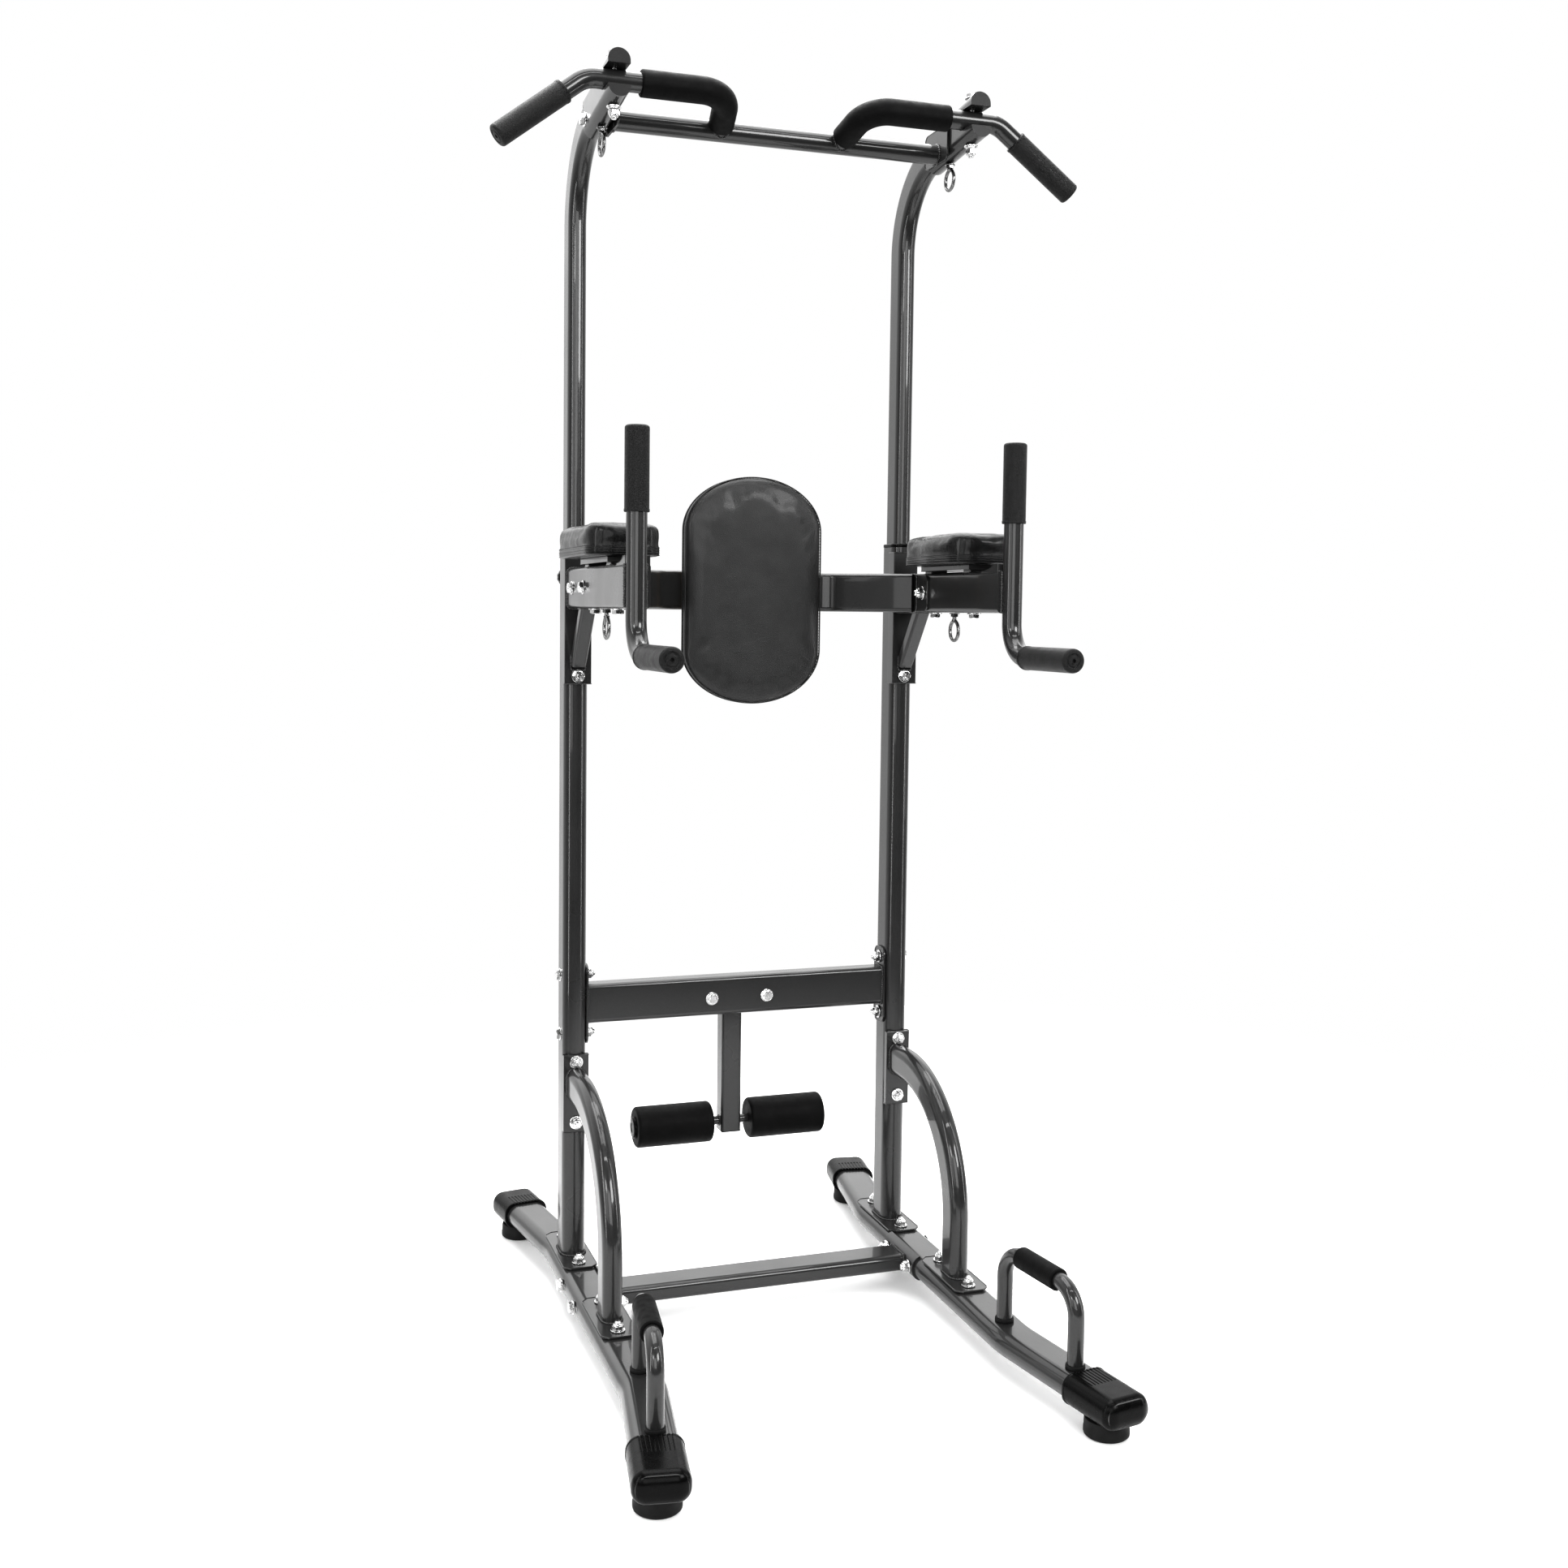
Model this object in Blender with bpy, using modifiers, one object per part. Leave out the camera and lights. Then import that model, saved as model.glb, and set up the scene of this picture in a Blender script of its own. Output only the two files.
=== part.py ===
"""Free-standing power tower: a welded and bolted steel frame with a padded back rest and arm rests,
dip handles, push-up handles, sit-up rollers and a telescoping top with pull-up bars.

Metres, +Z up. The user stands on the -Y side and faces +Y. X = 0 is the plane of symmetry, and
Y = 0 is the middle of the base. "left" pieces lie at -X and "right" pieces at +X.
"""
import bpy
import bmesh
import math
from mathutils import Matrix, Vector

# ---- driving dimensions ----
GAP = 0.0003                # clearance between pieces that touch
RUNNING_GAP = 0.0006        # clearance round shafts and inside sleeves
PLATE = 0.004               # thickness of every welded steel plate
BEND_STEPS = 6              # straight pieces in each tube bend
CORNER_STEPS = 2            # straight pieces in each rounded corner of a tube section
ROUND_SIDES = 20            # sides of a turned piece

BASE_HALF_LENGTH = 0.590    # base rails with their caps, front to back
RAIL_X = 0.310              # middle stretch of a base rail
RAIL_BEND_Y = 0.300
RAIL_END_X = 0.357
RAIL_WIDTH = 0.075
RAIL_HEIGHT = 0.040
RAIL_Z = 0.052
RAIL_TOP = RAIL_Z + RAIL_HEIGHT / 2
FRONT_CAP_LENGTH = 0.106
REAR_CAP_LENGTH = 0.083
CAP_WALL = 0.005
FOOT_X = 0.350
FOOT_Y = 0.534
FOOT_RADIUS = 0.035

UPRIGHT_Y = 0.2375
LOWER_WIDTH = 0.042         # across, along X
LOWER_DEPTH = 0.072         # front to back
LOWER_WALL = 0.002
LOWER_TOP = 1.358
UPPER_WIDTH = 0.032
UPPER_DEPTH = 0.061
UPPER_BOTTOM = 1.000
UPPER_BEND = 0.155             # radius of the curve at the top
SLEEVE_SLOPE = math.radians(6.0)
SLEEVE_START_Y = 0.094
SLEEVE_FRONT_Y = -0.090
SLEEVE_WIDTH = 0.036
SLEEVE_DEPTH = 0.077
PIN_Z = 1.292               # height of the locking pins
HOLE_PITCH = 0.050
HOLE_COUNT = 6
PIN_RADIUS = 0.004

ARM_Z = 1.271               # centreline of the arms
ARM_HEIGHT = 0.070
ARM_WIDTH = 0.040
ARM_X = 0.310
BRACKET_LOW = 1.103
BRACKET_HIGH = 1.348
PAD_X = 0.3095              # arm pad
PAD_WIDTH = 0.121
PAD_FRONT_Y = -0.155
PAD_REAR_Y = 0.105
PAD_LOW = 1.318
PAD_THICK = 0.052
DIP_Y = -0.234
DIP_X = 0.314
DIP_TOP = 1.511
DIP_LOW = 1.165
DIP_FRONT_Y = -0.445
TUBE_RADIUS = 0.016         # dip handles and pull-up bars
GRIP_RADIUS = 0.0195

BACK_PAD_WIDTH = 0.256
BACK_PAD_STRAIGHT = 0.105   # half the height of its straight sides
BACK_PAD_LOW = 1.069
BACK_PAD_HIGH = 1.474
BACK_PAD_FRONT_Y = 0.147
BACK_BEAM_Y = 0.218
BOARD_THICK = 0.012
BEAM_DEPTH = 0.036

MIDDLE_BEAM_Z = 0.5275
MIDDLE_BEAM_HEIGHT = 0.071
MIDDLE_BEAM_DEPTH = 0.038
POST_WIDTH = 0.038
ROLLER_Z = 0.276
ROLLER_RADIUS = 0.0375
ROLLER_INNER_X = 0.037
ROLLER_OUTER_X = 0.182
AXLE_RADIUS = 0.008

BRACE_WIDTH = 0.034
BRACE_DEPTH = 0.060
BRACE_Y = -0.072
BRACE_TOP = 0.390
BRACE_BEND = 0.220

BAR_Y = -0.052              # pull-up bars
BAR_Z = 2.068
BAR_END = (0.497, -0.059, 1.960)
BAR_SHOULDER_X = 0.357
BAR_INNER_X = 0.122
CROSSBAR_Y = 0.045
CROSSBAR_Z = 2.034
CROSSBAR_RADIUS = 0.017
FOAM_RADIUS = 0.0215

HANDLE_RADIUS = 0.013       # push-up handles
HANDLE_GRIP_Z = 0.194
HANDLE_FRONT = (0.335, -0.462)
HANDLE_REAR = (0.309, -0.270)
RING_RADIUS = 0.017
RING_WIRE = 0.003

BASE_BEAM_Y = 0.087
BASE_BEAM_DEPTH = 0.064
BASE_BEAM_HEIGHT = 0.030

LEFT, RIGHT = -1, 1
SIDES = ((LEFT, "left"), (RIGHT, "right"))

# Colour, roughness and metallic value of each finish.
FINISHES = {
    "frame_paint": ((0.050, 0.052, 0.056), 0.28, 0.6),
    "black_plastic": ((0.012, 0.012, 0.013), 0.35, 0.0),
    "pebbled_rubber": ((0.015, 0.015, 0.016), 0.60, 0.0),
    "foam": ((0.012, 0.012, 0.012), 0.75, 0.0),
    "leatherette": ((0.013, 0.013, 0.014), 0.40, 0.0),
    "plywood": ((0.30, 0.20, 0.11), 0.70, 0.0),
    "zinc": ((0.70, 0.70, 0.72), 0.25, 1.0),
}


# ---- scene helpers ----
def clear_scene():
    """Remove everything that is already in the scene."""
    for old in list(bpy.data.objects):
        bpy.data.objects.remove(old, do_unlink=True)


def new_collection(name):
    """Return a collection of this name, linked to the scene."""
    group = bpy.data.collections.new(name)
    bpy.context.scene.collection.children.link(group)
    return group


def new_material(name, finish):
    """Return a Principled material of its own for one piece."""
    color, roughness, metallic = FINISHES[finish]
    material = bpy.data.materials.new(name)
    material.use_nodes = True
    shader = material.node_tree.nodes["Principled BSDF"]
    shader.inputs["Base Color"].default_value = (*color, 1.0)
    shader.inputs["Roughness"].default_value = roughness
    shader.inputs["Metallic"].default_value = metallic
    return material


def keep(piece, name, finish, origin=None):
    """Name a finished piece, give it its material, shade it and set its origin."""
    piece.name = name
    piece.data.name = name
    piece.data.materials.clear()
    piece.data.materials.append(new_material(name + "_material", finish))
    piece.data.shade_smooth()
    piece.data.set_sharp_from_angle(angle=math.radians(35))
    for group in list(piece.users_collection):
        group.objects.unlink(piece)
    PARTS.objects.link(piece)
    if origin is not None:
        shift = Vector(origin) - piece.location
        piece.data.transform(Matrix.Translation(-shift))
        piece.location = origin
    return piece


def mesh_object(name, mesh):
    """Link a mesh to the scene as a new object."""
    piece = bpy.data.objects.new(name, mesh)
    bpy.context.scene.collection.objects.link(piece)
    return piece


def bake(curve):
    """Turn a curve object into a closed mesh object with its transform applied."""
    bpy.context.view_layer.update()
    graph = bpy.context.evaluated_depsgraph_get()
    mesh = bpy.data.meshes.new_from_object(curve.evaluated_get(graph))
    mesh.transform(curve.matrix_world)
    work = bmesh.new()
    work.from_mesh(mesh)
    bmesh.ops.remove_doubles(work, verts=work.verts, dist=0.00002)
    bmesh.ops.recalc_face_normals(work, faces=work.faces)
    work.to_mesh(mesh)
    work.free()
    piece = mesh_object(curve.name + "_mesh", mesh)
    bpy.data.objects.remove(curve, do_unlink=True)
    return piece


def polyline(name, points, cyclic, flat):
    """Make a curve object with one POLY spline."""
    curve = bpy.data.curves.new(name, 'CURVE')
    curve.dimensions = '2D' if flat else '3D'
    spline = curve.splines.new('POLY')
    spline.points.add(len(points) - 1)
    for knot, point in zip(spline.points, points):
        knot.co = (*point[:2], point[2] if len(point) > 2 else 0.0, 1.0)
    spline.use_cyclic_u = cyclic
    piece = bpy.data.objects.new(name, curve)
    bpy.context.scene.collection.objects.link(piece)
    return piece


# ---- outlines, paths and placements ----
def rounded_outline(width, height, corner):
    """Points of a rectangle with round corners, centred on the origin."""
    points = []
    for quadrant in range(4):
        centre_x = (width / 2 - corner) * (1 if quadrant in (0, 3) else -1)
        centre_y = (height / 2 - corner) * (1 if quadrant in (0, 1) else -1)
        for step in range(CORNER_STEPS + 1):
            angle = math.pi / 2 * (quadrant + step / CORNER_STEPS)
            point = (centre_x + corner * math.cos(angle), centre_y + corner * math.sin(angle))
            if not points or math.dist(point, points[-1]) > 1e-5:
                points.append(point)
    if math.dist(points[0], points[-1]) < 1e-5:
        points.pop()
    return points


def oval_outline(depth, width, extra=0.0):
    """Flat-oval tube section: round on its narrow edges."""
    return rounded_outline(depth + 2 * extra, width + 2 * extra, min(depth, width) / 2 + extra)


def fillet_path(corners, radius):
    """A path through the corners, with an arc of the given radius at each inner one."""
    corners = [Vector(corner) for corner in corners]
    path = [corners[0]]
    for before, corner, after in zip(corners, corners[1:], corners[2:]):
        incoming = (corner - before).normalized()
        outgoing = (after - corner).normalized()
        turn = incoming.angle(outgoing)
        centre = corner + (outgoing - incoming).normalized() * radius / math.cos(turn / 2)
        spoke = corner - incoming * radius * math.tan(turn / 2) - centre
        axis = incoming.cross(outgoing).normalized()
        for step in range(BEND_STEPS + 1):
            path.append(centre + Matrix.Rotation(turn * step / BEND_STEPS, 3, axis) @ spoke)
    path.append(corners[-1])
    return path


def longer_path(path, extra):
    """The same path with its two ends carried on by a little."""
    path = [Vector(point) for point in path]
    head = path[0] + (path[0] - path[1]).normalized() * extra
    tail = path[-1] + (path[-1] - path[-2]).normalized() * extra
    return [head] + path[1:-1] + [tail]


def side_plane(x):
    """Placement of a drawing whose axes are Y and Z, at this X. Its own Z runs along +X."""
    return Matrix(((0, 0, 1, x), (1, 0, 0, 0), (0, 1, 0, 0), (0, 0, 0, 1)))


def floor_plane(z):
    """Placement of a drawing whose axes are X and Y, at this height."""
    return Matrix.Translation((0, 0, z))


def front_plane(y):
    """Placement of a drawing whose axes are X and Z, at this Y. Its own Z runs along -Y."""
    return Matrix(((1, 0, 0, 0), (0, 0, -1, y), (0, 1, 0, 0), (0, 0, 0, 1)))


def flat(points):
    """Two-value points as vectors in a drawing's plane."""
    return [Vector((point[0], point[1], 0.0)) for point in points]


# ---- shape helpers ----
def section_tube(outline, path, placement):
    """Sweep a section outline along a flat path. The outline's X lies in the path's plane."""
    section = polyline("section", outline, True, True)
    rail = polyline("rail", path, False, True)
    rail.data.bevel_mode = 'OBJECT'
    rail.data.bevel_object = section
    rail.data.use_fill_caps = True
    rail.matrix_world = placement
    piece = bake(rail)
    bpy.data.objects.remove(section, do_unlink=True)
    return piece


def round_tube(path, radius, resolution=4):
    """A round bar along a path in space."""
    rail = polyline("rail", path, False, False)
    rail.data.bevel_depth = radius
    rail.data.bevel_resolution = resolution
    rail.data.use_fill_caps = True
    return bake(rail)


def plate(points, thickness, placement):
    """A flat plate of any outline, centred on its drawing's plane."""
    sheet = polyline("sheet", points, True, True)
    sheet.data.fill_mode = 'BOTH'
    sheet.data.extrude = thickness / 2
    sheet.matrix_world = placement
    return bake(sheet)


def box(low, high):
    """A box between two corners."""
    bpy.ops.mesh.primitive_cube_add(size=1.0)
    piece = bpy.context.object
    low = Vector(low)
    size = Vector(high) - low
    piece.data.transform(Matrix.Translation(low + size / 2) @ Matrix.Diagonal((*size, 1.0)))
    return piece


def turned(profile, placement):
    """A solid of revolution. The profile's points are (radius, height), from top to bottom."""
    mesh = bpy.data.meshes.new("turned")
    edges = [(index, index + 1) for index in range(len(profile) - 1)]
    mesh.from_pydata([(radius, 0.0, height) for radius, height in profile], edges, [])
    piece = mesh_object("turned", mesh)
    screw = piece.modifiers.new("Turn", 'SCREW')
    screw.steps = ROUND_SIDES
    screw.render_steps = ROUND_SIDES
    screw.use_merge_vertices = True
    screw.merge_threshold = 0.00002
    piece.matrix_world = placement
    return bake(piece)


def rod(start, end, radius, sides=ROUND_SIDES):
    """A plain round rod between two points."""
    start = Vector(start)
    run = Vector(end) - start
    bpy.ops.mesh.primitive_cylinder_add(vertices=sides, radius=radius, depth=run.length)
    piece = bpy.context.object
    turn = run.to_track_quat('Z', 'Y').to_matrix().to_4x4()
    piece.data.transform(Matrix.Translation(start + run / 2) @ turn)
    return piece


def combine(piece, tool, operation):
    """Apply an exact Boolean with another mesh object, and remove that object."""
    boolean = piece.modifiers.new("Boolean", 'BOOLEAN')
    boolean.operation = operation
    boolean.solver = 'EXACT'
    boolean.object = tool
    bpy.context.view_layer.update()
    graph = bpy.context.evaluated_depsgraph_get()
    mesh = bpy.data.meshes.new_from_object(piece.evaluated_get(graph))
    piece.modifiers.remove(boolean)
    old = piece.data
    piece.data = mesh
    bpy.data.meshes.remove(old)
    bpy.data.objects.remove(tool, do_unlink=True)
    return piece


def weld(piece, *others):
    """Join pieces into one closed body."""
    for other in others:
        combine(piece, other, 'UNION')
    return piece


def cut(piece, *tools):
    """Cut each tool out of a piece."""
    for tool in tools:
        combine(piece, tool, 'DIFFERENCE')
    return piece


def sleeve_on(path, outer, inner, closed_end=False):
    """A grip: a round cover on a round bar, open at both ends or closed at its last one."""
    cover = round_tube(path, outer)
    bore = longer_path(path, 0.010)
    if closed_end:
        end = Vector(path[-1])
        inward = (Vector(path[-2]) - end).normalized()
        bore[-1] = end + inward * CAP_WALL
    return cut(cover, round_tube(bore, inner + RUNNING_GAP))


# ---- base ----
def rail_corners(side):
    """The centreline of one base rail, from back to front."""
    end_y = BASE_HALF_LENGTH - CAP_WALL - GAP
    return [(side * RAIL_END_X, end_y), (side * RAIL_X, RAIL_BEND_Y),
            (side * RAIL_X, -RAIL_BEND_Y), (side * RAIL_END_X, -end_y)]


def rail_shape(side, extra):
    """One base rail, or a copy that is larger all round for cutting its neighbours."""
    outline = oval_outline(RAIL_WIDTH, RAIL_HEIGHT, extra)
    path = fillet_path(flat(rail_corners(side)), 0.10)
    return section_tube(outline, longer_path(path, extra + 0.00001), floor_plane(RAIL_Z))


def end_cap(side, end, length):
    """The cap over one end of a base rail. end is -1 at the front and 1 at the back."""
    slope = Vector((side * (RAIL_END_X - RAIL_X), end * (BASE_HALF_LENGTH - RAIL_BEND_Y), 0))
    slope.normalize()
    tip = Vector((side * RAIL_END_X, end * (BASE_HALF_LENGTH - CAP_WALL - GAP), 0))
    outline = rounded_outline(RAIL_WIDTH + 2 * CAP_WALL, RAIL_HEIGHT + 2 * CAP_WALL, 0.018)
    cap = section_tube(outline, [tip - slope * length, tip + slope * CAP_WALL],
                       floor_plane(RAIL_Z))
    return cut(cap, rail_shape(side, GAP))


def foot():
    """A round rubber foot, from its top down."""
    top = RAIL_Z - RAIL_HEIGHT / 2 - CAP_WALL - GAP
    return turned([(0.0, top), (0.031, top), (0.034, top - 0.003), (FOOT_RADIUS, 0.004),
                   (0.033, 0.0), (0.0, 0.0)], Matrix())


def push_up_path(side):
    """The centreline of one push-up handle, from its front post to its rear post."""
    foot_z = RAIL_TOP + GAP
    front_x, front_y = HANDLE_FRONT
    rear_x, rear_y = HANDLE_REAR
    return fillet_path([(side * front_x, front_y, foot_z), (side * front_x, front_y, HANDLE_GRIP_Z),
                        (side * rear_x, rear_y, HANDLE_GRIP_Z), (side * rear_x, rear_y, foot_z)],
                       0.045)


def push_up_grip(side):
    """The foam grip on the straight top of a push-up handle."""
    front = Vector((side * HANDLE_FRONT[0], HANDLE_FRONT[1], HANDLE_GRIP_Z))
    rear = Vector((side * HANDLE_REAR[0], HANDLE_REAR[1], HANDLE_GRIP_Z))
    path = [front.lerp(rear, 0.24), front.lerp(rear, 0.77)]
    return sleeve_on(path, 0.018, HANDLE_RADIUS)


def base_crossbeam():
    """The low tube between the rails, with a saddle plate at each end."""
    reach = RAIL_X - RAIL_WIDTH / 2
    outline = rounded_outline(BASE_BEAM_DEPTH, BASE_BEAM_HEIGHT, 0.010)
    beam = section_tube(outline, flat([(-reach, BASE_BEAM_Y), (reach, BASE_BEAM_Y)]),
                        floor_plane(RAIL_Z - 0.002))
    for side, _ in SIDES:
        inner = side * (reach - PLATE)
        outer = side * (reach + 0.010)
        saddle = box((min(inner, outer), BASE_BEAM_Y - 0.066, RAIL_Z - 0.018),
                     (max(inner, outer), BASE_BEAM_Y + 0.066, RAIL_Z + 0.018))
        weld(beam, saddle)
        cut(beam, rail_shape(side, GAP))
    return beam


# ---- lower frame ----
def upright_outline(extra):
    """Section of a lower upright: its first value runs front to back."""
    return oval_outline(LOWER_DEPTH, LOWER_WIDTH, extra)


def upright_shape(side, low, high, extra):
    """A straight stretch of the lower upright's section."""
    return section_tube(upright_outline(extra), flat([(UPRIGHT_Y, low), (UPRIGHT_Y, high)]),
                        side_plane(side * RAIL_X))


def clipped_plate(x, y_low, y_high, half_width, z_low):
    """A base plate with clipped corners, lying on a rail."""
    clip = 0.012
    points = [(x - half_width + clip, y_low), (x + half_width - clip, y_low),
              (x + half_width, y_low + clip), (x + half_width, y_high - clip),
              (x + half_width - clip, y_high), (x - half_width + clip, y_high),
              (x - half_width, y_high - clip), (x - half_width, y_low + clip)]
    return plate(points, PLATE, floor_plane(z_low + PLATE / 2))


def lower_upright(side):
    """A hollow upright on its base plate, with a hole for the locking pin."""
    plate_z = RAIL_TOP + GAP
    upright = upright_shape(side, plate_z + PLATE / 2, LOWER_TOP, 0.0)
    weld(upright, clipped_plate(side * RAIL_X, UPRIGHT_Y - 0.092, UPRIGHT_Y + 0.092, 0.031, plate_z))
    hollow = upright_shape(side, plate_z + PLATE + 0.002, LOWER_TOP + 0.010, -LOWER_WALL)
    pin_way = rod((side * RAIL_X, UPRIGHT_Y + 0.020, PIN_Z),
                  (side * RAIL_X, UPRIGHT_Y + 0.050, PIN_Z), PIN_RADIUS + RUNNING_GAP, 16)
    return cut(upright, hollow, pin_way)


def height_bushing(side):
    """The plastic guide in the mouth of a lower upright: a rim with a skirt inside the tube."""
    rim_low = LOWER_TOP + GAP
    skirt_low = LOWER_TOP - 0.040
    bushing = upright_shape(side, rim_low, rim_low + 0.006, 0.0006)
    weld(bushing, upright_shape(side, skirt_low, rim_low + 0.003, -LOWER_WALL - GAP))
    bore = section_tube(oval_outline(UPPER_DEPTH, UPPER_WIDTH, RUNNING_GAP),
                        flat([(UPRIGHT_Y, skirt_low - 0.010), (UPRIGHT_Y, rim_low + 0.020)]),
                        side_plane(side * RAIL_X))
    return cut(bushing, bore)


def brace(side):
    """The curved tube that ties an upright to its rail, with a plate at each end."""
    plate_z = RAIL_TOP + GAP
    front_y = UPRIGHT_Y - LOWER_DEPTH / 2
    path = fillet_path(flat([(front_y - 0.002, BRACE_TOP), (BRACE_Y, BRACE_TOP),
                             (BRACE_Y, plate_z + PLATE / 2)]), BRACE_BEND)
    tube = section_tube(oval_outline(BRACE_DEPTH, BRACE_WIDTH), path, side_plane(side * RAIL_X))
    weld(tube, clipped_plate(side * RAIL_X, BRACE_Y - 0.080, BRACE_Y + 0.085, 0.031, plate_z))
    weld(tube, box((side * RAIL_X - 0.0235, front_y - PLATE, 0.303),
                   (side * RAIL_X + 0.0235, front_y + 0.009, 0.443)))
    return cut(tube, upright_shape(side, 0.25, 0.50, GAP))


def middle_crossbeam():
    """The beam between the lower uprights, with a flange at each end."""
    reach = RAIL_X - LOWER_WIDTH / 2 - GAP
    outline = rounded_outline(MIDDLE_BEAM_DEPTH, MIDDLE_BEAM_HEIGHT, 0.008)
    beam = section_tube(outline, flat([(-reach + 0.001, UPRIGHT_Y), (reach - 0.001, UPRIGHT_Y)]),
                        floor_plane(MIDDLE_BEAM_Z))
    for side, _ in SIDES:
        outline = [(UPRIGHT_Y + point[0], MIDDLE_BEAM_Z + point[1])
                   for point in rounded_outline(0.048, 0.145, 0.016)]
        weld(beam, plate(outline, PLATE, side_plane(side * (reach - PLATE / 2))))
    return beam


def roller_post():
    """The hanging post behind the middle beam, with its plate and the roller axle."""
    back_y = UPRIGHT_Y + MIDDLE_BEAM_DEPTH / 2 + GAP
    post_y = back_y + PLATE + POST_WIDTH / 2
    half = POST_WIDTH / 2
    post = section_tube(rounded_outline(POST_WIDTH, POST_WIDTH, 0.006),
                        flat([(post_y, ROLLER_Z - half), (post_y, MIDDLE_BEAM_Z + 0.020)]),
                        side_plane(0.0))
    weld(post, box((-0.075, back_y, MIDDLE_BEAM_Z - 0.024),
                   (0.075, back_y + PLATE + 0.001, MIDDLE_BEAM_Z + 0.024)))
    reach = ROLLER_OUTER_X - 0.003
    return weld(post, rod((-reach, post_y, ROLLER_Z), (reach, post_y, ROLLER_Z), AXLE_RADIUS))


def roller_y():
    """Y of the roller axle."""
    return UPRIGHT_Y + (MIDDLE_BEAM_DEPTH + POST_WIDTH) / 2 + GAP + PLATE


def foam_roller(side):
    """A foam roller on its axle, with rounded ends and a bore."""
    bore = AXLE_RADIUS + 0.0004
    length = ROLLER_OUTER_X - ROLLER_INNER_X
    edge = 0.006
    profile = [(bore, length), (ROLLER_RADIUS - edge, length), (ROLLER_RADIUS, length - edge),
               (ROLLER_RADIUS, edge), (ROLLER_RADIUS - edge, 0.0), (bore, 0.0), (bore, length)]
    start = Vector((side * ROLLER_INNER_X, roller_y(), ROLLER_Z))
    turn = Matrix.Rotation(side * math.pi / 2, 4, 'Y')
    return turned(profile, Matrix.Translation(start) @ turn)


def roller_end_cap(side):
    """The plastic disc that closes the outer end of a roller."""
    thick = 0.005
    profile = [(0.0, thick), (0.016, thick), (0.020, thick - 0.002), (0.020, 0.0), (0.0, 0.0)]
    start = Vector((side * (ROLLER_OUTER_X + GAP), roller_y(), ROLLER_Z))
    turn = Matrix.Rotation(side * math.pi / 2, 4, 'Y')
    return turned(profile, Matrix.Translation(start) @ turn)


# ---- arms and back rest ----
def arm(side):
    """An arm with its bracket round the upright, strut, pad plate and end gusset, all welded."""
    x = side * ARM_X
    plate_y = UPRIGHT_Y - LOWER_DEPTH / 2 - GAP - PLATE
    tube = section_tube(rounded_outline(ARM_HEIGHT, ARM_WIDTH, 0.008),
                        flat([(plate_y + 0.002, ARM_Z), (DIP_Y + 0.006, ARM_Z)]), side_plane(x))
    half = LOWER_WIDTH / 2 + PLATE + GAP
    weld(tube, box((x - half, plate_y, BRACKET_LOW), (x + half, plate_y + 0.027, BRACKET_HIGH)))
    strut = section_tube(rounded_outline(0.022, 0.026, 0.005),
                         flat([(plate_y + 0.001, 1.140), (0.120, ARM_Z - ARM_HEIGHT / 2 + 0.006)]),
                         side_plane(x))
    weld(tube, strut)
    weld(tube, box((x - 0.024, PAD_FRONT_Y + 0.045, ARM_Z + ARM_HEIGHT / 2 - 0.002),
                   (x + 0.024, PAD_REAR_Y - 0.045, PAD_LOW - GAP)))
    top = ARM_Z + ARM_HEIGHT / 2
    gusset = [(DIP_Y + 0.006, top - 0.004), (DIP_Y + 0.070, top - 0.004), (DIP_Y + 0.060, top + 0.001),
              (DIP_Y + 0.036, top + 0.010), (DIP_Y + 0.022, top + 0.012), (DIP_Y + 0.006, top + 0.012)]
    weld(tube, plate(gusset, 0.030, side_plane(x)))
    handle = rod((side * DIP_X, DIP_Y, ARM_Z - 0.1), (side * DIP_X, DIP_Y, ARM_Z + 0.1),
                 TUBE_RADIUS + GAP + 0.0002)
    return cut(tube, upright_shape(side, BRACKET_LOW - 0.05, BRACKET_HIGH + 0.05, GAP), handle)


def dip_path(side):
    """The centreline of a dip handle, from the top of its hand grip to its front end."""
    x = side * DIP_X
    return fillet_path([(x, DIP_Y, DIP_TOP - CAP_WALL), (x, DIP_Y, DIP_LOW),
                        (x, DIP_FRONT_Y + CAP_WALL, DIP_LOW)], 0.055)


def hand_grip(side):
    """The upright rubber grip at the top of a dip handle, closed at its top."""
    x = side * DIP_X
    return sleeve_on([(x, DIP_Y, 1.381), (x, DIP_Y, DIP_TOP)], GRIP_RADIUS, TUBE_RADIUS, True)


def dip_grip(side):
    """The level rubber grip at the front of a dip handle, closed at its front."""
    x = side * DIP_X
    return sleeve_on([(x, -0.290, DIP_LOW), (x, DIP_FRONT_Y, DIP_LOW)], GRIP_RADIUS, TUBE_RADIUS, True)


def arm_pad(side):
    """A plain solid of an arm pad's size."""
    length = PAD_REAR_Y - PAD_FRONT_Y
    centre_y = (PAD_REAR_Y + PAD_FRONT_Y) / 2
    outline = [(side * PAD_X + point[0], centre_y + point[1])
               for point in rounded_outline(PAD_WIDTH, length, 0.035)]
    pad = plate(outline, PAD_THICK, floor_plane(PAD_LOW + PAD_THICK / 2))
    bevel = pad.modifiers.new("Soft edge", 'BEVEL')
    bevel.width = 0.010
    bevel.segments = 2
    bevel.limit_method = 'ANGLE'
    bevel.angle_limit = math.radians(60)
    return pad


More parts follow.
